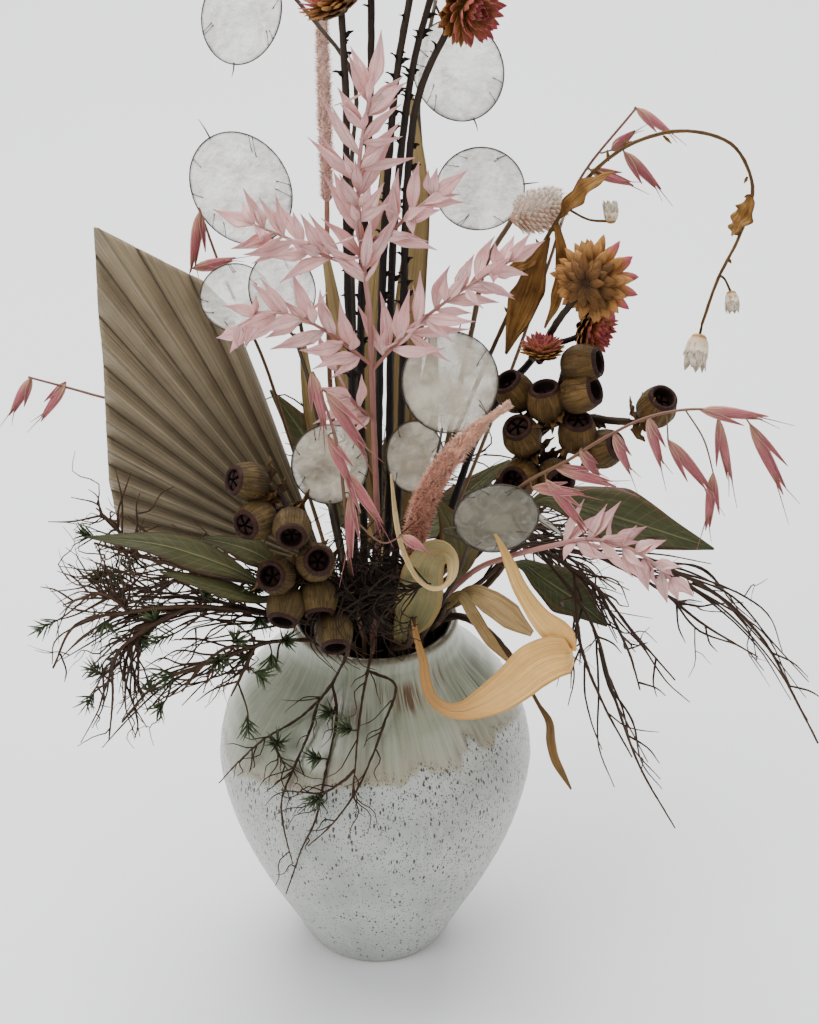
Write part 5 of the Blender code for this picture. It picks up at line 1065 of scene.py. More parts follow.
# Rings of bracts: count, start radius and height, lift of the tip in degrees, length, width, curl
# and finish, sizes being shares of the head's half width
BRACT_RINGS = [
    (10, 0.20, -0.34, -6, 0.34, 0.26, 0.25, 0), (13, 0.28, -0.28, 4, 0.46, 0.28, 0.20, 0),
    (15, 0.34, -0.20, 6, 0.58, 0.28, 0.16, 1), (17, 0.38, -0.12, 12, 0.62, 0.26, 0.14, 1),
    (18, 0.38, -0.05, 24, 0.60, 0.24, 0.18, 2), (17, 0.34, 0.01, 40, 0.54, 0.22, 0.22, 2),
    (14, 0.28, 0.06, 56, 0.46, 0.20, 0.26, 2), (10, 0.20, 0.09, 70, 0.36, 0.18, 0.30, 2),
]
# Rings of the wide open head, which is seen from behind
OPEN_HALF = 17.0
OPEN_RINGS = [
    (9, 0.12, -0.40, -50, 0.26, 0.22, 0.9, 0), (11, 0.18, -0.36, -34, 0.34, 0.24, 0.8, 0),
    (12, 0.26, -0.29, -16, 0.38, 0.24, 0.5, 0), (13, 0.32, -0.20, -4, 0.50, 0.26, 0.3, 1),
    (14, 0.36, -0.13, 3, 0.60, 0.26, 0.12, 1), (15, 0.36, -0.06, 8, 0.66, 0.24, 0.12, 2),
    (14, 0.34, 0.00, 16, 0.68, 0.22, 0.14, 2), (12, 0.30, 0.05, 34, 0.52, 0.20, 0.20, 2),
]
# Half section of the base and the domed middle: radius and height as shares of the half width
BASE_SECTION = ((0.01, -0.42), (0.10, -0.42), (0.20, -0.36), (0.36, -0.22), (0.40, -0.06),
                (0.36, 0.06), (0.26, 0.14), (0.12, 0.18), (0.01, 0.19))
BASE_STEPS = 20
FLORETS = 70
STEM_SCRAPS = 26
# Turn from one leaf to the next round a shoot, in radians
SPIRAL_STEP = 2.39996


def bract_head(skin, middle, axis, half, rng):
    """Head of overlapping bracts round a base and a domed middle of fine florets."""
    out_at = spokes(axis)
    wide_open = half > OPEN_HALF
    for count, radius, height, lift, length, width, curl, finish in OPEN_RINGS if wide_open else BRACT_RINGS:
        shift = rng.uniform(0, 1)
        for k in range(count):
            out = out_at(tau * (k + shift + rng.uniform(-0.15, 0.15)) / count)
            tip_lift = radians(lift + rng.uniform(-7, 7) * (2 if wide_open else 1))
            way = out * cos(tip_lift) + axis * sin(tip_lift)
            rise = axis * cos(tip_lift) - out * sin(tip_lift)
            root = middle + (out * radius * 0.6 + axis * height) * half * MM
            reach = (length + radius * 0.4) * half * MM * rng.uniform(0.92, 1.06)
            bend = rng.uniform(0.7, 1.3) * curl
            path = [root + way * reach * s + rise * reach * bend * s ** 3
                    for s in (0.0, 0.18, 0.38, 0.58, 0.76, 0.9, 1.0)]
            wide = width * half * rng.uniform(0.9, 1.15)
            shade = 1 if wide_open and finish and out.dot(RIGHT) < 0.25 else finish
            leaf(skin, path, (wide * 0.5, wide * 0.8, wide, wide * 1.04, wide * 0.86, wide * 0.5, 0.2),
                 rise, 0.28, cup=0.35, across=4, finish=shade, tone=rng.uniform(-1, 1), lens=0.5)
    rows = []
    for radius, height in BASE_SECTION:
        row = []
        for n in range(BASE_STEPS):
            turn = tau * n / BASE_STEPS
            out = out_at(turn)
            grow = 1 + 0.12 * noise.noise(out * 3 + axis * height * 6)
            row.append((middle + (out * radius * grow + axis * height) * half * MM,
                        (height + 0.5, sin(turn * 3), 0.0)))
        rows.append(row)
    skin.rows(rows, 3)
    for k in range(FLORETS):
        share = sqrt((k + 0.5) / FLORETS)
        out = out_at(k * SPIRAL_STEP)
        root = middle + (out * 0.30 * share + axis * (0.12 - 0.10 * share)) * half * MM
        tip = root + (axis + out * 0.35 * share) * rng.uniform(0.10, 0.16) * half * MM
        tube(skin, [root, root.lerp(tip, 0.6), tip], (0.30, 0.36, 0.12), 5, 4)


def make_strawflower(seed, place, branches):
    """Stem with a head at the end of each branch, and small dry scraps on a stem without branches."""
    rng = random.Random(seed)
    skin = Skin()
    main = []
    for spots, spot, look, half in branches:
        way = facing(*look)
        points = seen_line(spots)
        neck = seen(*spot) - way * half * 0.3 * MM
        if main:
            tube(skin, smooth([nearest([main[2:]], points[0]), *points[1:], neck], 24), (1.1, 1.2, 1.2), 8, 5,
                 knots=0.22)
        else:
            main = stem(skin, place, points + [neck], 8, 8, (1.75, 1.7, 1.6, 1.5, 1.35), 10, 5, 0.22)
        bract_head(skin, seen(*spot), way, half, rng)
    for k in range(STEM_SCRAPS if len(branches) == 1 else 0):
        base, heading = along(main, rng.uniform(0.45, 1.0))
        out = heading + heading.cross(TOWARD) * rng.choice((-1.6, 1.6)) + TOWARD * rng.uniform(0, 1)
        out = out.normalized() * rng.uniform(3, 7) * MM
        leaf(skin, smooth([base, base + out * 0.5 + UP * MM, base + out], 7), (1.0, 2.2, 1.6, 0.4),
             facing(0.2, 0.3), 0.35, cup=0.5, ripple=0.5, across=4, finish=5,
             tone=rng.uniform(-1, 1), roll=1.0)
    return skin


def strawflower_finish(name, colours, start, end):
    """Papery bract, or firmer tissue of the base, florets and stem."""
    petal = name.startswith("bract")
    return tissue(name, 0.18, colours, (7 if petal else 3, 0.35, 260, 0.25, 0.35, 0.18, start, end),
                  {"Subsurface Weight": 0.12 if petal else 0.0, "Subsurface Scale": 0.0015})


keep_all("papery_", STRAWFLOWERS, make_strawflower, 110, [
    strawflower_finish("bract_brown", ((27, 17, 7), (46, 31, 14), (17, 10, 4.5), (26, 15, 7)), 0.2, 0.9),
    strawflower_finish("bract_gold", ((44, 29, 12), (74, 54, 30), (40, 24, 10), (60, 38, 22)), 0.35, 0.95),
    strawflower_finish("bract_pink", ((68, 48, 25), (68, 30, 38), (58, 34, 24), (72, 42, 40)), 0.44, 0.9),
    strawflower_finish("flower_base", ((22, 15, 8), (48, 36, 18), (13, 8, 5), (28, 18, 8)), 0.2, 0.6),
    strawflower_finish("florets", ((54, 38, 12), (66, 49, 20), (39, 24, 7), (46, 31, 11)), 0.3, 0.9),
    strawflower_finish("flower_stem", ((11, 8, 7), (22, 17, 13), (5, 4, 3), (15, 11, 9)), 0.6, 1.0),
], "strawflower")


# Paper daisy: one long thin stem that arches over to the right and hangs down.
# Crumpled brown leaves cling to it, and papery white buds hang at its end and on short side stalks.
DAISY_STEM = [(410, 560, -18), (440, 470, -23), (492, 350, -22), (530, 270, -18), (556, 222, -16),
              (599, 165, -14), (636, 142, -14), (667, 132, -14), (694, 132, -14), (723, 139, -14),
              (742, 155, -14), (752, 180, -14), (750, 205, -14), (739, 237, -14), (726, 264, -14),
              (713, 289, -14), (711, 302, -14), (702, 324, -14)]
DAISY_LEAVES = [
    ([(548, 236, -17), (538, 262, -13), (524, 300, -12), (506, 354, -12)], (2, 11, 14, 9, 1)),
    ([(540, 254, -16), (524, 262, -12), (506, 270, -10)], (2, 7, 6, 1)),
    ([(556, 224, -15), (562, 256, -11), (560, 290, -10), (545, 328, -10)], (2, 5, 6, 5, 1)),
    ([(560, 216, -16), (574, 200, -12), (592, 184, -10), (614, 172, -8)], (2, 7, 9, 6, 1)),
    ([(751, 196, -14), (748, 208, -12), (742, 220, -12), (732, 236, -12)], (2, 9, 10, 7, 1)),
    ([(745, 226, -14), (738, 228, -16), (728, 226, -18)], (2, 6, 5, 1)),
]
DAISY_SCRAPS = 16
# Each bud: its middle, the way its tip points and its half width in mm
DAISY_BUDS = [((697, 349, -14), (-0.2, -1.0, 0.1), 6.0), ((732, 300, -14), (0.1, -1.0, 0.1), 3.6),
              ((611, 214, -10), (0.0, 1.0, 0.2), 3.6)]
# Half section of a bud, and its rings of scales: start height, distance out and length
BUD_SECTION = ((0.02, -1.1), (0.40, -1.0), (0.72, -0.5), (0.84, 0.1), (0.78, 0.7), (0.45, 1.1), (0.02, 1.2))
BUD_STEPS = 14
BUD_RINGS = ((-0.9, 0.62, 0.8), (-0.5, 0.84, 1.1), (-0.1, 0.90, 1.3), (0.3, 0.84, 1.2))


def papery_bud(skin, middle, way, half, rng, finish):
    """Closed bud: overlapping papery scales from its base to a ragged tip."""
    out_at = spokes(way)
    skin.rows([[(middle + (out_at(tau * n / BUD_STEPS) * radius + way * height) * half * MM,
                 (0.5 + height * 0.4, 0.0, 0.0)) for n in range(BUD_STEPS)]
               for radius, height in BUD_SECTION], finish)
    for ring, (height, away, length) in enumerate(BUD_RINGS):
        for k in range(8):
            out = out_at(tau * (k + ring * 0.5 + rng.uniform(-0.1, 0.1)) / 8)
            root = middle + (out * away * 0.8 + way * height) * half * MM
            spread = rng.uniform(-0.15, 0.25)
            path = [root + (way * s + out * (0.30 * s * (1 - s) + spread * s * s)) * length * half * MM
                    for s in (0.0, 0.25, 0.5, 0.75, 1.0)]
            leaf(skin, path, (0.5 * half, 0.62 * half, 0.6 * half, 0.4 * half, 0.15), out, 0.25,
                 cup=-0.3, across=4, finish=finish, tone=rng.uniform(-1, 1), lens=0.5)


def make_daisy():
    """Arching stem with crumpled leaves and buds."""
    rng = random.Random(120)
    skin = Skin()
    path = stem(skin, (1, -2), seen_line(DAISY_STEM), 18, 7, (1.2, 0.95, 0.8, 0.65), 8, 1, 0.3)
    for n, (spots, widths) in enumerate(DAISY_LEAVES):
        line = seen_line(spots)
        line = smooth([nearest([path[2:]], line[0])] + line[1:], 5)
        leaf(skin, smooth(line, 34), pointed(widths, 16), facing(0.4 - 0.2 * n, 0.2), 0.45, fold=0.42,
             cup=-0.15, ripple=0.38, across=12, tone=rng.uniform(-1, 1), roll=0.5 * (-1) ** n)
    for k in range(DAISY_SCRAPS):
        place, heading = along(path, rng.uniform(0.30, 0.97))
        out = (heading.cross(TOWARD) * rng.choice((-1, 1)) + heading * 0.6).normalized()
        length = rng.uniform(2.5, 5) * MM
        leaf(skin, smooth([place, place + out * length * 0.5, place + out * length], 6),
             (0.8, 1.5, 0.3), TOWARD, 0.35, cup=0.5, ripple=0.3, across=4, tone=rng.uniform(-1, 1))
    for spot, look, half in DAISY_BUDS:
        way = facing(*look)
        base = seen(*spot) - way * half * 0.8 * MM
        joint = nearest([path[2:]], base - way * 9 * MM)
        if (joint - base).length > 4 * MM:
            line = [joint, base.lerp(joint, 0.5) - way * 2 * MM, base]
            tube(skin, smooth(line, 14), (0.55, 0.5, 0.7), 6, 1)
        papery_bud(skin, seen(*spot), way, half, rng, 2)
    return skin


keep("arching_paper_daisy", make_daisy(), [
    tissue("daisy_leaf", 0.35, ((52, 37, 17), (66, 49, 26), (33, 20, 8), (30, 18, 7)),
           (6, 0.6, 170, 0.5, 0.5, 0.2, 0.3)),
    tissue("daisy_stem", 0.35, ((38, 28, 14), (50, 36, 19), (24, 16, 8), (31, 22, 11)),
           (6, 0.6, 170, 0.5, 0.5, 0.2, 0.3)),
    tissue("daisy_bud", 0.35, ((69, 52, 31), (94, 89, 81), (64, 50, 33), (81, 73, 60)),
           (6, 0.25, 170, 0.1, 0.5, 0.2, 0.05, 0.6))], "paper_daisy", "daisy")


# Cone head: a soft pinkish white flower cone lying on its side on a thin stem.
# Spiral rows of narrow scales, rosy below, are tipped with pale down.
CONE_SPOT = (536, 212, -26)
CONE_WAY = (0.95, 0.3, 0.2)
CONE_HALF = 10.5
CONE_SCALES = 210
CONE_DOWN = 16
CORE_ROWS = 16
CORE_STEPS = 24


def bristle(skin, root, tip, half, sag, tone=0.0, finish=0):
    """Fine three-sided hair from root to tip, bent a little by sag."""
    out_at = spokes((tip - root).normalized())
    first = len(skin.points)
    for share, thick in ((0.0, 1.0), (0.55, 0.75)):
        centre = root.lerp(tip, share) + sag * share * (1 - share) * 2
        for n in range(3):
            skin.points.append(centre + out_at(tau * n / 3) * half * thick * MM)
            skin.marks.append((share, 0.0, tone))
    skin.points.append(tip)
    skin.marks.append((1.0, 0.0, tone))
    for n in range(3):
        m = (n + 1) % 3
        skin.faces.append((first + n, first + m, first + 3 + m, first + 3 + n))
        skin.faces.append((first + 3 + n, first + 3 + m, first + 6))
    skin.faces.append((first, first + 2, first + 1))
    skin.finish.extend([finish] * 7)


def any_way(rng):
    """Random vector with each part between -1 and 1."""
    return Vector([rng.uniform(-1, 1) for n in range(3)])


def make_cone():
    """Stem, egg-shaped core, spiral scales and down."""
    rng = random.Random(130)
    skin = Skin()
    middle = seen(*CONE_SPOT)
    axis = facing(*CONE_WAY)
    points = seen_line([(424, 545, -27), (450, 430, -40), (474, 320, -42), (490, 250, -36)])
    stem(skin, (1, -3), points + [middle - axis * CONE_HALF * MM], 7, 8, (1.3, 1.2, 1.15), 8, 1, 0.2)
    out_at = spokes(axis)
    rows = []
    for k in range(CORE_ROWS + 1):
        height = -1.05 + 2.05 * k / CORE_ROWS
        radius = 0.62 * max(1 - abs(height) ** 2.2, 0.0) ** 0.5 + 0.01
        rows.append([(middle + (out_at(tau * n / CORE_STEPS) * radius + axis * height) * CONE_HALF * MM,
                      (k / CORE_ROWS, 0.0, 0.0)) for n in range(CORE_STEPS)])
    skin.rows(rows)
    for k in range(CONE_SCALES):
        share = (k + 0.5) / CONE_SCALES
        out = out_at(k * SPIRAL_STEP)
        height = CONE_HALF * (1.75 * share - 0.92)
        girth = CONE_HALF * 0.60 * sqrt(max(1 - (height / CONE_HALF) ** 2, 0.08))
        start = middle + (axis * height + out * girth * 0.85) * MM
        way = (out * (0.75 - 0.3 * share) + axis * (0.45 + share)).normalized()
        length = rng.uniform(3.4, 5.0) * (1.1 - 0.35 * abs(share - 0.45)) * MM
        tone = rng.uniform(-1, 1)
        path = [start + way * length * s + out * length * 0.22 * s * s for s in (0.0, 0.3, 0.6, 0.85, 1.0)]
        crown = out.dot(VIEW_UP) > -0.15
        leaf(skin, path, (1.2, 1.9, 2.1, 1.4, 0.2), out, 0.4, cup=-0.3, across=4, tone=tone,
             finish=2 if crown else 0)
        for n in range(CONE_DOWN if crown else 2):
            tuft_way = (way + any_way(rng) * 0.75 + out * 0.3).normalized()
            root = path[3] + any_way(rng) * 0.4 * MM
            bristle(skin, root, root + tuft_way * rng.uniform(1.2, 2.6) * MM, 0.10, UP * 0.2 * MM, tone, 2)
    return skin


CONE_LOOK = (4, 0.3, 240, 0.25, 0.4, 0.15, 0.15, 0.8)
keep("downy_cone_head", make_cone(), [
    tissue("cone_scale", 0.15, ((78, 60, 49), (96, 86, 77), (66, 48, 38), (95, 87, 78)), CONE_LOOK),
    tissue("cone_stem", 0.15, ((34, 26, 18), (45, 36, 26), (22, 16, 10), (36, 28, 20)), CONE_LOOK),
    tissue("cone_down", 0.15, ((92, 82, 74), (97, 95, 91), (82, 70, 60), (96, 93, 88)), CONE_LOOK),
], "cone_head", "cone")


# Foxtails: soft salmon-pink bristly spikes on thin stems, one leaning out in front and a slim one
# standing behind at the top. Thousands of fine bristles point outward and toward the tip, and they
# fade to cream at the tip of the spike.
SPIKE_STEPS = 60


def make_foxtail(seed, place, stalk, spots, girth, count):
    """Stem, slim core of a girth in mm, and a count of bristles all round."""
    rng = random.Random(seed)
    skin = Skin()
    stem(skin, place, seen_line(stalk), 5, 8, (1.1, 1.1), 7, 1, 0.15)
    spike = smooth(seen_line(spots), SPIKE_STEPS)
    swell = [girth * (0.35 + 0.65 * sin(pi * min(k / (SPIKE_STEPS - 1) + 0.12, 1.0)) ** 0.4)
             for k in range(SPIKE_STEPS)]
    tube(skin, spike, [s * 0.62 for s in swell], 12, knots=0.5)
    for k in range(count):
        share = rng.uniform(0.0, 1.0)
        centre, way = along(spike, share)
        side = way.cross(TOWARD).normalized()
        turn = k * SPIRAL_STEP + rng.uniform(-0.2, 0.2)
        out = side * cos(turn) + side.cross(way) * sin(turn)
        thick = read_along(swell, share)
        root = centre + out * thick * 0.5 * MM
        lean = rng.uniform(0.2, 1.1)
        length = thick * rng.uniform(0.5, 1.0) * MM
        tip = root + (out + way * lean).normalized() * length
        bristle(skin, root, tip, rng.uniform(0.10, 0.17), way * length * 0.3,
                min(share * 1.1, 1.0) * 2.0 - 1.0 + rng.uniform(-0.2, 0.2))
    return skin


def foxtail_finishes(name, root, tip, cream_share):
    """Salmon bristles paler along the spike, and the pinkish stem."""
    def paler(tree, colour):
        """Cream toward the tip of the spike."""
        return read_mark(tree)[2].ramp(0.1, 1.1, 0.0, cream_share).blend(colour, srgb(93, 80, 69))

    return [tissue(name + "_bristle", 0.1, (root, tip, root, (80, 58, 48)),
                   (3, 0.15, 140, 0.3, 0, 0.05, 0, 0.8), {"Sheen Weight": 0.3}, paler),
            tissue(name + "_stem", 0.15, ((48, 34, 28), (66, 45, 39), (35, 22, 18), (58, 39, 33)),
                   (2, 0.4, 260, 0.3, 0.2))]


keep("bristly_foxtail_front", make_foxtail(
    80, (1, 2), [(410, 606, 18), (410, 572, 22)],
    [(410, 572, 22), (416, 532, 27), (426, 498, 32), (447, 462, 36), (478, 428, 37), (510, 404, 36)],
    5.2, 7000), foxtail_finishes("foxtail", (62, 35, 27), (90, 65, 54), 0.75), "foxtail_front", "foxtail")
# The slim foxtail behind is pale pink, and its bristles are a lighter copy of the front one's: painted light
# that offsets the shade it stands in
keep("bristly_foxtail_back", make_foxtail(
    81, (-1, -3), [(356, 560, -36), (334, 430, -60), (328, 300, -66), (327, 200, -66)],
    [(327, 200, -66), (325, 130, -66), (323, 60, -66), (321, 0, -66), (318, -50, -66)],
    3.4, 5200), foxtail_finishes("pale_lit_foxtail", (84, 64, 58), (96, 84, 78), 0.3), "foxtail_back", "foxtail")


# Oats: hair-thin arching stems with dusky pink spikelets that hang from fine stalks.
# Each spikelet is a pair of long ribbed husks round a narrow grain, drawn out into stiff awns.
OATS = [
    # Name, place on the floor, points of the stem and side stalks, and base and tip of each spikelet
    ("oat_left", (-3, -1), [(304, 572, -22), (220, 490, -46), (150, 410, -52), (105, 400, -52),
                            (62, 380, -50), (28, 377, -48)], [],
     [((28, 377, -48), (10, 414, -46)), ((66, 382, -50), (42, 420, -50))]),
    ("oat_back_left", (-2, -2), [(330, 560, -30), (290, 440, -44), (252, 330, -50), (214, 258, -46),
                                 (199, 208, -40)], [[(222, 274, -46), (205, 262, -40), (190, 270, -38)]],
     [((199, 208, -40), (191, 270, -40)), ((190, 270, -38), (234, 258, -36))]),
    ("oat_top_right", (2, -3), [(440, 545, -34), (496, 410, -44), (540, 290, -42), (571, 196, -38),
                                (612, 134, -36), (636, 108, -34)],
     [[(600, 152, -37), (620, 148, -34), (624, 152, -32)]],
     [((636, 108, -34), (672, 133, -32)), ((612, 152, -35), (634, 131, -30)),
      ((624, 152, -32), (660, 188, -30)), ((590, 170, -38), (632, 185, -34))]),
    ("oat_right", (0, 1), [(404, 600, 14), (458, 562, 20), (484, 530, 26), (504, 500, 36), (530, 480, 40),
                           (556, 468, 42), (588, 447, 46), (640, 420, 44), (672, 413, 42), (700, 409, 40),
                           (742, 414, 40)], [[(686, 411, 41), (704, 440, 42), (714, 476, 42)]],
     [((700, 409, 40), (766, 416, 42)), ((580, 450, 46), (600, 478, 44)), ((614, 434, 45), (630, 474, 44)),
      ((648, 419, 44), (661, 468, 44)), ((668, 440, 43), (712, 490, 44)), ((718, 418, 41), (732, 480, 42)),
      ((714, 476, 42), (706, 528, 42)), ((750, 424, 40), (782, 492, 40)), ((556, 468, 42), (614, 486, 50)),
      ((532, 488, 42), (582, 494, 50)), ((546, 480, 44), (584, 530, 52))]),
    ("oat_middle", (-1, 3), [(352, 590, 34), (346, 520, 44), (340, 460, 48), (328, 410, 48),
                             (314, 374, 46)], [[(346, 510, 45), (380, 542, 58), (402, 536, 62)]],
     [((328, 436, 48), (350, 486, 52)), ((344, 470, 47), (382, 522, 56)), ((350, 494, 46), (348, 560, 52)),
      ((312, 372, 46), (326, 428, 48)), ((326, 392, 47), (366, 456, 50)), ((402, 536, 60), (426, 550, 64))]),
]


def spikelet(skin, base, tip, rng):
    """Two long husks round a grain, with awns."""
    way = (tip - base).normalized()
    length = (tip - base).length
    side = way.cross(TOWARD).normalized()
    face = (TOWARD + side * rng.uniform(-0.5, 0.5)).normalized()
    side = way.cross(face).normalized()
    lean = rng.choice((-0.3, 0.3))
    for turn, reach, wide, off in ((0.0, 1.04, 4.4, 0.4), (lean * 0.22, 0.96, 3.6, -0.4),
                                   (lean * 0.9, 0.72, 2.6, 0.0)):
        heading = (way + side * turn).normalized()
        start = base + face * off * 0.3 * MM
        path = smooth([start, start + heading * length * reach * 0.5 + face * off * MM,
                       start + heading * length * reach], 16)
        leaf(skin, path, (0.7, wide * 0.85, wide, wide * 0.92, wide * 0.68, wide * 0.4, 0.25), face, 0.35,
             cup=-0.55 if off > 0 else 0.35, tone=rng.uniform(-1, 1), lens=0.4)
    for turn, reach in ((0.05, 1.44), (lean * 0.4, 1.22)):
        end = base + (way + side * turn + face * 0.08) * length * reach
        root = base.lerp(tip, 0.7)
        tube(skin, smooth([root, root.lerp(end, 0.5) - side * turn * 2 * MM, end], 9),
             (0.34, 0.26, 0.18, 0.1), 5, tone=-0.3)


def make_oat(seed, place, spots, stalks, ears):
    """Stem, side stalks and spikelets."""
    rng = random.Random(seed)
    skin = Skin()
    lines = [stem(skin, place, seen_line(spots), max(6, len(spots) + 1), 7, (1.0, 0.85, 0.7, 0.5), 7, 1,
                  0.12)[2:]]
    for stalk in stalks:
        path = seen_line(stalk)
        path[0] = nearest(lines, path[0])
        tube(skin, smooth(path, 16), (0.4, 0.4, 0.3), 6, 1)
        lines.append(path)
    for base, tip in ears:
        start = seen(*base)
        joint = nearest(lines, start)
        if (joint - start).length > 1.5 * MM:
            tube(skin, smooth([joint, start.lerp(joint, 0.5) + UP * MM, start], 10), (0.35, 0.3, 0.4), 5, 1)
        else:
            start = joint
        spikelet(skin, start, seen(*tip), rng)
    return skin


keep_all("hanging_", OATS, make_oat, 90, [
    tissue("oat_husk", 0.25, ((74, 55, 44), (67, 40, 41), (53, 28, 31), (82, 68, 61)),
           (6, 0.6, 160, 0.2, 0.6, 0.15, 0.05, 0.5), {"Subsurface Weight": 0.1, "Subsurface Scale": 0.002}),
    tissue("oat_stem", 0.1, ((44, 34, 24), (51, 36, 32), (31, 22, 16), (42, 31, 26)),
           (2, 0.4, 200, 0.3, 0.2))], "oat")


# Pink ruscus: bleached and dyed shoots with stiff pointed leaves set left and right in turn.
# A tall branched stem stands in the middle of the front, and a small sprig leans out low at the right.
RUSCUS_STEM = [(378, 560, 13), (374, 430, 17), (370, 330, 19), (366, 262, 20), (358, 228, 20),
               (356, 200, 20), (362, 140, 19), (372, 84, 17)]
RUSCUS_SHOOTS = [
    # Points, number of leaves and their length in mm. A shoot of two points is the stem's own end
    ([(370, 330, 19), (372, 84, 17)], 15, 29.0),
    ([(364, 246, 20), (390, 232, 20), (412, 212, 18), (434, 196, 14)], 6, 23.0),
    ([(370, 372, 19), (404, 336, 22), (440, 306, 20), (478, 280, 14), (512, 260, 8)], 13, 24.0),
    ([(362, 268, 20), (330, 258, 22), (292, 240, 22), (252, 224, 20)], 10, 24.0),
    ([(371, 366, 19), (344, 344, 26), (310, 322, 30), (268, 312, 30), (238, 326, 28)], 11, 24.0),
    ([(373, 420, 17), (352, 400, 26), (336, 370, 30)], 4, 22.0),
]
SPRIG_STEM = [(458, 584, 20), (486, 564, 36), (512, 556, 46), (556, 545, 50), (600, 540, 52),
              (644, 556, 54), (672, 580, 54)]
SPRIG_SHOOTS = [([(540, 550, 49), (672, 580, 54)], 10, 19.0)]
RUSCUS_WIDTHS = (0.7, 2.4, 4.2, 5.4, 5.5, 4.7, 3.4, 2.1, 1.0, 0.2)
TIP_MATCH = 0.2


def grown_points(node):
    """Search tree over the points of a node of the frame."""
    source = bpy.data.objects[node]
    tree = KDTree(len(source.data.vertices))
    for k, v in enumerate(source.data.vertices):
        tree.insert(source.matrix_world @ v.co, k)
    tree.balance()
    return tree


def ruscus_leaves(skin, root, reach, way, side, out, face, curl, far):
    """A leaf with a smaller one beside it, and on some a third that turns away."""
    across = out.cross(face).normalized()
    lift = across.cross(out).normalized()
    bow = far.uniform(-1.1, 1.1)
    line = [root + out * reach * MM * s + lift * curl * reach * MM * s * s
            + (across * 1.2 + lift) * sin(pi * s) * bow * MM
            for s in (0.0, 0.1, 0.22, 0.35, 0.48, 0.6, 0.72, 0.83, 0.92, 1.0)]
    wide = [w * far.uniform(0.92, 1.12) for w in RUSCUS_WIDTHS]
    leaf(skin, smooth(line, 16), wide, face, 0.5, fold=0.20, cup=0.10, ripple=0.05,
         across=8, tone=far.uniform(-1, 1), roll=far.uniform(-0.35, 0.35))
    twin = (out * 0.8 + side * far.uniform(-0.9, 0.7) + VIEW_UP * far.uniform(-0.5, 0.5)
            + face * far.uniform(-0.5, 0.3)).normalized()
    small = reach * far.uniform(0.6, 0.95) * MM
    leaf(skin, smooth([root, root + twin * small * 0.5 + lift * far.uniform(0, 2) * MM,
                       root + twin * small], 12), [w * 0.8 for w in wide], face, 0.4,
         fold=0.25, cup=0.1, ripple=0.05, tone=far.uniform(-1, 1))
    if far.random() < 0.6:
        stray = (way * far.uniform(-0.5, 0.9) + side * far.uniform(-1.0, 1.0)
                 + TOWARD * far.uniform(0.1, 0.9)).normalized()
        small *= far.uniform(0.7, 1.1)
        leaf(skin, smooth([root, root + stray * small * 0.5 - way * MM, root + stray * small], 12),
             [w * 0.75 for w in wide], (VIEW_UP + side * far.uniform(-1, 1)).normalized(),
             0.4, fold=0.25, cup=0.1, ripple=0.08, tone=far.uniform(-1, 1))


def leafy(skin, grown, path, count, length, rng, far):
    """Leaves along a shoot, each in the direction that the frame's own leaf took."""
    for k in range(count + 1):
        share = 0.12 + 0.86 * k / count
        root, way = along(path, share)
        side = way.cross(TOWARD).normalized() * (1 if k % 2 else -1)
        reach = length * (1.08 - 0.4 * share) * rng.uniform(0.85, 1.15)
        toward = rng.uniform(-0.35, 0.55)
        spread = rng.uniform(0.55, 0.95)
        tilt = rng.uniform(-0.7, 0.7)
        curl = rng.uniform(-0.12, 0.16)
        if k == count:
            spread = tilt = 0.0
        face = (TOWARD + side * tilt - way * 0.3).normalized()
        for swing in (0.0, 0.4, -0.4, 0.8, -0.8, 1.2):
            out = (way + side * spread + TOWARD * (toward + swing)).normalized()
            lift = out.cross(face).normalized().cross(out).normalized()
            if grown.find(root + (out + lift * curl) * reach * MM)[2] < TIP_MATCH * MM:
                ruscus_leaves(skin, root, reach, way, side, out, face, curl, far)
                break


def make_ruscus(node, place, points, shoots, seed):
    """Stem, shoots and leaves."""
    rng = random.Random(seed)
    far = random.Random(seed + 900)
    grown = grown_points(node)
    skin = Skin()
    path = stem(skin, place, seen_line(points), 9, 8, (1.4, 1.25, 1.05, 0.7), 8, 1, 0.15)
    for shoot, count, length in shoots:
        line = seen_line(shoot)
        if len(line) > 2:
            line = smooth([nearest([path[2:]], line[0])] + line[1:], 6)
            tube(skin, smooth(line, 30), (0.8, 0.75, 0.65, 0.5), 7, 1, knots=0.15)
        else:
            gaps = [(p - line[0]).length for p in path]
            line = path[gaps.index(min(gaps)):]
        leafy(skin, grown, line, count, length, rng, far)
    return skin


RUSCUS_FINISHES = [
    tissue("ruscus_leaf", 0.30, ((93, 77, 74), (93, 73, 73), (80, 53, 55), (82, 53, 56)),
           (4.5, 0.40, 110, 0.35, 0.45, 0.12, 0.3), {"Subsurface Weight": 0.2, "Subsurface Scale": 0.003}),
    tissue("ruscus_stem", 0.15, ((61, 43, 39), (78, 60, 58), (51, 32, 29), (72, 54, 50)),
           (2, 0.4, 200, 0.3, 0.2))]
keep("bleached_pink_ruscus", make_ruscus("pink_ruscus", (0, 2), RUSCUS_STEM, RUSCUS_SHOOTS, 21),
     RUSCUS_FINISHES, "pink_ruscus", "ruscus")
keep("bleached_ruscus_sprig", make_ruscus("ruscus_sprig", (2, 2), SPRIG_STEM, SPRIG_SHOOTS, 22),
     RUSCUS_FINISHES, "ruscus_sprig", "ruscus")


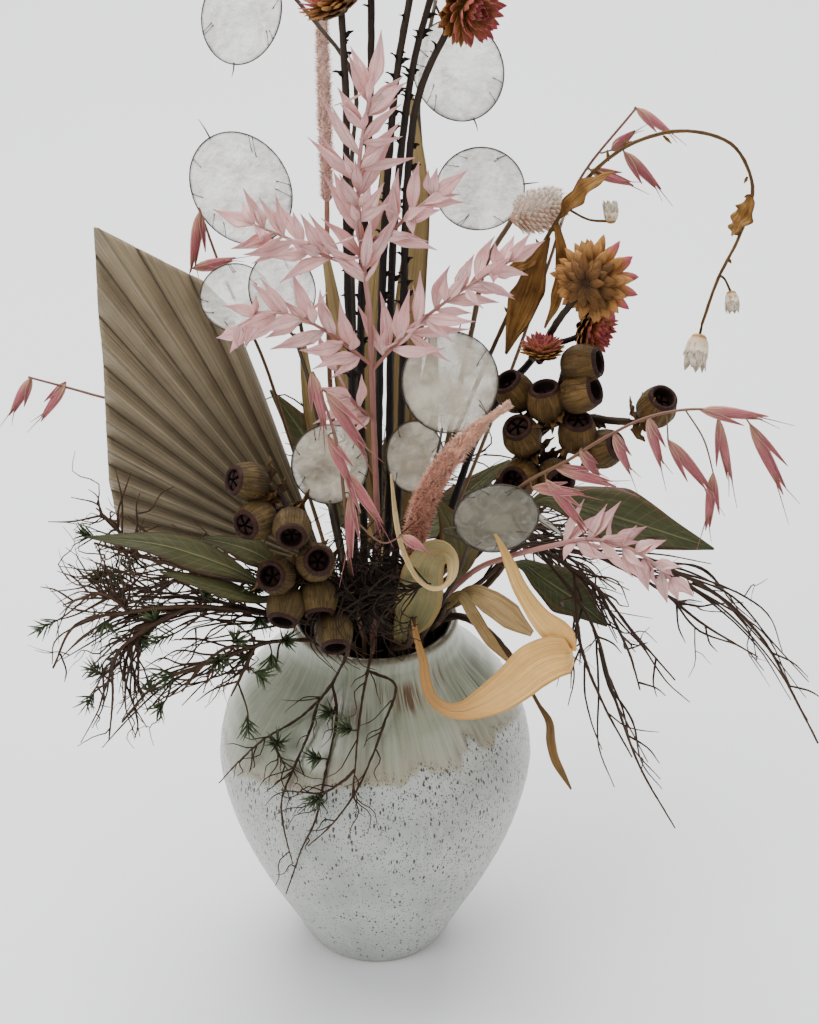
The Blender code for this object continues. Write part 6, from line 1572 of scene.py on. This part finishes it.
# Heath and broom: wiry dark red-brown twigs that fork again and again, with thin side twigs.
# The heath at the left and back carries small tufts of dark green needles. The broom fans out at
# the right and hangs low.
SPRIGS = [
    # Name, place on the floor and main twigs. Of the side twigs: number, length in mm and how many
    # carry needles. Of the fine twigs: number beside the main ones, number of forks, length in mm and
    # lean toward the viewer. Last the spots of the tufts
    ("heath_left_high", (-3, 1), [
        [(300, 606, 22), (258, 585, 28), (196, 572, 22), (140, 556, 16), (94, 543, 12)],
        [(196, 572, 22), (160, 586, 16), (118, 588, 8), (63, 605, 4)],
        [(140, 556, 16), (113, 524, 12), (96, 508, 10)]], (9, 26, 3), (48, 64, 26, -0.5),
     [(97, 577, 10), (116, 585, 9), (254, 589, 27), (180, 566, 20)]),
    ("heath_left_middle", (-2, 2), [
        [(302, 622, 30), (250, 612, 44), (190, 606, 50), (130, 612, 50), (78, 623, 48), (53, 668, 46)],
        [(190, 606, 50), (150, 628, 54), (119, 640, 56), (113, 696, 56), (109, 740, 56)],
        [(130, 612, 50), (108, 596, 50), (84, 592, 50)]], (9, 26, 3), (76, 60, 27, -0.5),
     [(105, 623, 50), (94, 669, 46), (155, 619, 52), (260, 619, 44), (284, 604, 42), (206, 592, 50),
      (140, 640, 54), (232, 598, 46)]),
    ("heath_left_low", (-2, 3), [
        [(306, 640, 40), (256, 645, 54), (196, 668, 62), (140, 694, 64), (122, 722, 64)],
        [(256, 645, 54), (216, 652, 62), (182, 692, 66)],
        [(256, 645, 54), (244, 670, 62), (231, 696, 66)]], (7, 20, 3), (22, 22, 20, -0.5),
     [(247, 657, 56), (218, 660, 60), (150, 690, 62), (272, 662, 56), (286, 640, 52), (236, 640, 60),
      (262, 676, 60)]),
    ("heath_left_back", (-3, -2), [
        [(304, 578, -26), (230, 552, -52), (160, 530, -66), (110, 520, -74)],
        [(230, 552, -52), (180, 560, -72), (130, 570, -84)]], (6, 26, 1), (16, 24, 24, 0.5),
     [(160, 545, -64)]),
    ("heath_back", (0, -4), [
        [(394, 542, -44), (408, 500, -80), (414, 460, -104), (424, 440, -118)],
        [(404, 522, -66), (356, 470, -100), (320, 440, -114)],
        [(406, 510, -74), (446, 470, -102), (486, 450, -112)]], (6, 26, 1), (60, 80, 28, 0.8),
     [(408, 500, -82), (360, 475, -98)]),
    ("broom_right_back", (1, -4), [
        [(426, 545, -46), (500, 528, -68), (560, 525, -84), (620, 540, -92)],
        [(500, 528, -68), (560, 552, -78), (616, 590, -82)]], (8, 30, 0), (56, 26, 30, 0.5), []),
    ("broom_right", (3, 0), [
        [(470, 590, 8), (536, 540, 14), (596, 556, 16), (685, 573, 18), (724, 600, 18), (753, 625, 18),
         (779, 668, 18), (818, 743, 18)],
        [(536, 540, 14), (600, 590, 20), (648, 652, 22), (675, 680, 22)],
        [(536, 540, 14), (590, 620, 24), (630, 749, 28), (662, 790, 28), (675, 828, 28)],
        [(596, 556, 16), (678, 600, 10), (714, 634, 8), (758, 657, 6)],
        [(600, 590, 20), (628, 650, 16), (640, 690, 14)],
        [(570, 580, 22), (582, 650, 30), (618, 735, 34), (632, 757, 34)]], (10, 22, 0),
     (44, 14, 26, -0.5), []),
]


def wiry(skin, start, end, thick, rng, kink=0.10):
    """Thin bent twig from start to end, kinked at its joints."""
    way = end - start
    side = way.orthogonal().normalized()
    up = way.normalized().cross(side)
    points = [start]
    for k in range(1, 4):
        off = (side * rng.uniform(-1, 1) + up * rng.uniform(-1, 1)) * way.length * kink
        points.append(start.lerp(end, k / 3) + (off if k < 3 else Vector()))
    path = smooth(points, 8)
    tube(skin, path, (thick, thick * 0.85, thick * 0.65, thick * 0.35), 5,
         tone=rng.uniform(-1, 1), knots=0.3)
    return path


def needles(skin, root, tip, count, rng):
    """Whorl of short green needles round the end of a twig."""
    way = (tip - root).normalized()
    out_at = spokes(way)
    for n in range(count):
        out = out_at(n * SPIRAL_STEP + rng.uniform(-0.3, 0.3))
        share = 0.25 + 0.75 * n / count
        start = root.lerp(tip, share)
        reach = rng.uniform(4.5, 9.5) * (1.15 - 0.45 * share)
        heading = (way * rng.uniform(0.4, 1.3) + out).normalized()
        end = start + heading * reach * MM
        path = [start, start.lerp(end, 0.5) + way * 0.5 * MM, end + way * 0.8 * MM]
        tube(skin, path, (0.30, 0.38, 0.10), 4, 1, tone=rng.uniform(-1, 1))


def side_twigs(skin, grown, paths, count, reach, rng):
    """Side twigs, each in the direction that the frame's own twig took."""
    found = []
    for k in range(count):
        root, way = along(paths[k % len(paths)], rng.uniform(0.3, 0.95))
        side = way.cross(TOWARD).normalized() * (1 if k % 2 else -1)
        lean = rng.uniform(0.5, 1.0)
        toward = rng.uniform(-0.5, 0.5)
        length = reach * rng.uniform(0.6, 1.1)
        for swing in (0.0, 0.5, -0.5, 1.0, -1.0):
            out = (way + side * lean + TOWARD * (toward + swing) - UP * 0.15).normalized()
            tip = root + out * length * MM
            if grown.find(tip)[2] < TIP_MATCH * MM:
                bend = root.lerp(tip, 0.5) + side * 1.8 * MM
                tube(skin, smooth([root, bend, tip], 9), (0.5, 0.45, 0.38, 0.18), 6, knots=0.3)
                found.append((bend, tip))
                break
    return found


def runners(skin, paths, count, stray, lean, rng):
    """Long thin twigs that leave a main one and run on beside it."""
    grown = []
    for k in range(count):
        path = paths[int(len(paths) * rng.random() ** 1.5)]
        low = rng.uniform(0.0, 0.55)
        span = rng.uniform(0.25, 0.55)
        aside = (RIGHT * rng.uniform(-0.6, 0.6) + VIEW_UP * rng.uniform(-0.8, 0.9)
                 + TOWARD * (lean + rng.uniform(-0.4, 0.4)))
        line = [along(path, low)[0]]
        for share in (0.35, 0.7, 1.0):
            bend = Vector((rng.uniform(-3, 3), rng.uniform(-1, 3), rng.uniform(-3, 3)))
            line.append(along(path, min(low + span * share, 1.0))[0] + (aside * stray * share + bend) * MM)
        grown.append(smooth(line, 18))
        tube(skin, grown[-1], (0.56, 0.50, 0.40, 0.22), 5, tone=rng.uniform(-1, 1), knots=0.4)
    return grown


def fork_out(skin, paths, count, reach, lean, rng):
    """Fine twigs forking off at narrow angles, some forking again."""
    for k in range(count):
        path = paths[rng.randrange(len(paths))]
        root, way = along(path, rng.uniform(0.2, 0.97))
        side = way.cross(TOWARD).normalized() * rng.choice((-1, 1))
        out = (way * rng.uniform(0.5, 1.6) + side * rng.uniform(0.15, 1.0)
               + TOWARD * (lean * 0.6 + rng.uniform(-0.5, 0.5)) - UP * rng.uniform(-0.4, 0.5)).normalized()
        tip = root + out * reach * rng.uniform(0.45, 1.25) * MM
        line = wiry(skin, root, tip, rng.uniform(0.30, 0.50), rng, 0.16)
        if rng.random() < 0.5:
            start, heading = along(line, rng.uniform(0.3, 0.7))
            bent = (heading + side * rng.choice((-0.7, 0.7)) + TOWARD * rng.uniform(-0.4, 0.4)).normalized()
            wiry(skin, start, start + bent * reach * rng.uniform(0.3, 0.6) * MM, 0.20, rng)


def make_sprig(node, place, lines, side_choice, fine_choice, tufts, seed):
    """Main twigs, side twigs, finer forks and tufts."""
    rng = random.Random(seed)
    fine = random.Random(seed + 900)
    grown = grown_points(node)
    skin = Skin()
    paths = [stem(skin, place, seen_line(lines[0]), max(6, len(lines[0]) + 1), 8, (1.15, 0.95, 0.75, 0.5), 8,
                  0, 0.35)[2:]]
    for spots in lines[1:]:
        points = seen_line(spots)
        points[0] = nearest(paths, points[0])
        paths.append(smooth(points, max(4, len(points))))
        tube(skin, smooth(paths[-1], 40), (0.8, 0.75, 0.6, 0.35), 7, knots=0.35)
    count, reach, with_needles = side_choice
    for bend, tip in side_twigs(skin, grown, paths, count, reach, rng)[:with_needles]:
        needles(skin, bend, tip, 16, fine)
    long_ones, forks, length, lean = fine_choice
    fork_out(skin, paths + runners(skin, paths, long_ones, length * 0.8, lean, fine), forks, length, lean,
             fine)
    for spot in tufts:
        tip = seen(*spot)
        line = wiry(skin, nearest(paths, tip), tip, 0.45, fine)
        needles(skin, line[3], tip, 26, fine)
    return skin


HEATH_FINISHES = [
    tissue("twig_bark", 0.25, ((25, 16.5, 10.5), (35, 24, 15.5), (10, 6.5, 4), (42, 32, 23)),
           (2.5, 0.6, 240, 0.5, 0.35, 0.3)),
    tissue("needle_green", 0.1, ((21, 25, 15), (36, 40, 27), (14, 17, 10), (34, 37, 25)),
           (1.5, 0.4, 200, 0.3, 0.3, 0.3))]
for sprig_seed, (node_name, *sprig_plan) in enumerate(SPRIGS, 31):
    keep("wiry_" + node_name, make_sprig(node_name, *sprig_plan, sprig_seed), HEATH_FINISHES,
         node_name, "twig")


# Hanging heath: two sprigs that lean over the lip and hang down the front of the vase.
# Their knotted red-brown twigs fork and cross, and carry a few tufts of needles.
HANGING = [
    # Name, place on the floor, the point over the lip, hanging twigs and tufts. The third number of
    # a twig's point or a tuft is its distance in mm from the vase
    ("heath_front_left", (-1, 4), (350, 642, 36), [
        [(321, 700, 7), (293, 722, 5), (256, 745, 5), (219, 783, 6)],
        [(322, 702, 7), (299, 756, 4), (281, 806, 4), (293, 864, 4)],
        [(270, 738, 5), (288, 771, 7)],
        [(347, 690, 6), (332, 734, 4), (320, 806, 4), (305, 840, 4), (286, 894, 5)]],
     [(314, 758, 12), (330, 712, 12), (278, 742, 12)]),
    ("heath_front_right", (0, 4), (374, 640, 34), [
        [(361, 706, 8), (357, 748, 8), (352, 798, 8)],
        [(395, 676, 6), (388, 712, 6), (362, 780, 5), (334, 822, 7), (308, 846, 8)],
        [(354, 770, 8), (326, 792, 8), (281, 790, 9)]],
     [(346, 728, 14), (316, 800, 14)]),
]
HANGING_FORKS = 8


def over_vase(across, down, lift):
    """The place at a pixel that lies lift mm outside the vase's front."""
    for step in range(220):
        place = seen(across, down, 110.0 - 0.5 * step)
        if place.xy.length / MM < vase_radius(place.z / MM) + lift:
            break
    return place


def make_hanging(seed, place, lip, lines, tufts):
    """Stem over the lip, hanging twigs, small forks and tufts."""
    fine = random.Random(seed + 900)
    skin = Skin()
    crest = over_vase(lip[0] - 2, lip[1] + 24, 9.0)
    crest.z = max(crest.z, (LIP_HEIGHT + 5) * MM)
    paths = [stem(skin, place, [seen(*lip), crest], 5, 8, (1.1, 1.0, 0.9), 8, 0, 0.4)[-2:]]
    for spots in lines:
        points = [over_vase(*p) for p in spots]
        paths.append(smooth([nearest(paths, points[0])] + points, len(points) + 2))
        tube(skin, smooth(paths[-1], 60), (0.62, 0.54, 0.42, 0.24), 8, knots=0.9)
    for spot in tufts:
        tip = over_vase(*spot)
        line = wiry(skin, nearest(paths, tip), tip, 0.45, fine)
        needles(skin, line[2], tip, 24, fine)
    for path in paths[1:]:
        for k in range(HANGING_FORKS):
            base, way = along(path, fine.uniform(0.05, 0.95))
            side = way.cross(TOWARD).normalized() * fine.choice((-1, 1))
            out = (way + side * fine.uniform(0.3, 0.9) + TOWARD * fine.uniform(0.0, 0.3)).normalized()
            wiry(skin, base, base + out * fine.uniform(8, 24) * MM, 0.33, fine, 0.16)
    return skin


keep_all("knotted_", HANGING, make_hanging, 41, HEATH_FINISHES, "twig")


# Twig tangle: a nest of fine curled twigs in the front of the vase's mouth.
# The twigs grow from one short stem and bend round each other.
TANGLE_TWIGS = 12
TANGLE_CURLS = 260


def make_tangle():
    """Short stem, the bent twigs of the frame and a nest of finer curls."""
    rng = random.Random(51)
    fine = random.Random(951)
    grown = grown_points("twig_tangle")
    skin = Skin()
    heart = seen(378, 616, 36)
    top = seen(370, 586, 38)
    stem(skin, (0, 3), [seen(392, 628, 30), heart, top], 6, 6, (1.3, 1.1, 0.9), 8, 0, 0.3)
    twigs = [[heart, top]]
    for k in range(TANGLE_TWIGS):
        turn = tau * k / TANGLE_TWIGS
        out = RIGHT * cos(turn) * 1.1 + VIEW_UP * (0.6 + 0.6 * sin(turn))
        start, _ = along([heart, top], (k + 0.5) / TANGLE_TWIGS)
        done = False
        for swing in (0.0, 0.4, -0.3, 0.8):
            way = (out + TOWARD * (rng.uniform(-0.1, 0.5) + swing)).normalized()
            length = rng.uniform(13, 24) * MM
            bend = start + way * length * 0.5 + VIEW_UP * rng.uniform(-4, 5) * MM
            tip = start + way * length + RIGHT * rng.uniform(-8, 8) * MM
            if not done and grown.find(tip)[2] < TIP_MATCH * MM:
                twigs.append(smooth([start, bend, tip], 12))
                tube(skin, twigs[-1], (0.55, 0.5, 0.4, 0.2), 6, knots=0.35)
                done = True
    for k in range(TANGLE_CURLS):
        start, _ = along(twigs[fine.randrange(len(twigs))], fine.uniform(0.0, 1.0))
        way = (RIGHT * fine.uniform(-2.0, 0.3 if start.x < heart.x else -0.6)
               + VIEW_UP * fine.uniform(-1.0, 1.0) + TOWARD * fine.uniform(-0.3, 0.5)).normalized()
        reach = fine.uniform(7, 26)
        aside = way.cross(TOWARD).normalized() * fine.choice((-1, 1))
        line = [start]
        for share, swing in ((0.4, 0.15), (0.8, 0.35), (1.0, 0.8), (0.8, 1.2)):
            line.append(start + (way * share + aside * swing * fine.uniform(0.4, 1.0)) * reach * MM)
        tube(skin, smooth(line, 20), (0.42, 0.36, 0.28, 0.15), 5, tone=fine.uniform(-1, 1), knots=0.4)
    return skin


NEST_BARK = tissue("nest_bark", 0.25, ((15, 9.5, 6), (26, 17.5, 11), (5, 3.5, 2), (38, 28, 20)),
                   (2.5, 0.6, 240, 0.5, 0.3, 0.4))
keep("nest_of_twigs", make_tangle(), [NEST_BARK], "twig_tangle", "twig")


# Floor: a wide pale paper sweep that the vase stands on.
# It is smooth matt paper with a faint unevenness in its tone.
floor_mesh = bpy.data.meshes.new("paper_floor")
floor_mesh.from_pydata([(-6, -3, 0), (6, -3, 0), (6, 9, 0), (-6, 9, 0)], [], [(0, 1, 2, 3)])
floor = bpy.data.objects.new("paper_floor", floor_mesh)
bpy.context.scene.collection.objects.link(floor)
floor_paper, floor_tree, floor_shader = new_material("floor_paper", {
    "Roughness": 0.75, "Specular IOR Level": 0.2})
paper_tone = place_of(floor_tree).cloud(3).blend(srgb(94, 94.5, 94.5), srgb(96.5, 97, 97))
join(floor_shader, "Base Color", paper_tone)
floor_mesh.materials.append(floor_paper)

# Light: a soft box overhead, one at the left front, a fill from the right, a wash on the paper
# behind and a bright room. Soft shadows gather at the foot and between the stems.
LIGHTS = [("overhead_box", (-0.25, 0.15, 1.45), (0.0, 0.0, 0.15), 1.0, 22.0),
          ("left_front_box", (-1.1, -0.9, 1.1), (0.0, 0.0, 0.2), 0.8, 11.0),
          ("right_fill", (1.3, -0.6, 0.8), (0.0, 0.0, 0.2), 1.0, 6.0),
          ("backdrop_wash", (0.1, 1.6, 1.6), (0.1, 0.9, 0.0), 1.8, 48.0)]
for light_name, light_place, light_aim, light_size, light_power in LIGHTS:
    box = bpy.data.lights.new(light_name, "AREA")
    box.energy = light_power
    box.size = light_size
    lamp = bpy.data.objects.new(light_name, box)
    lamp.location = light_place
    lamp.rotation_euler = (Vector(light_aim) - Vector(light_place)).to_track_quat("-Z", "Y").to_euler()
    bpy.context.scene.collection.objects.link(lamp)
room = bpy.data.worlds.new("bright_room")
room.use_nodes = True
room_light = room.node_tree.nodes["Background"]
join(room_light, "Color", (0.97, 0.985, 0.98, 1.0))
join(room_light, "Strength", 0.52)
bpy.context.scene.world = room

# Camera: looks down at the front of the vase from a little above.
# The focal length and place give the same view as the pixels that the places above are read from.
lens = bpy.data.cameras.new("front_view")
lens.sensor_width = 36.0
lens.lens = VIEW_FOCUS / 1024 * 36
view = bpy.data.objects.new("front_view", lens)
view.location = VIEW_FROM
view.rotation_euler = (pi / 2 - VIEW_TILT, 0.0, 0.0)
bpy.context.scene.collection.objects.link(view)
bpy.context.scene.camera = view
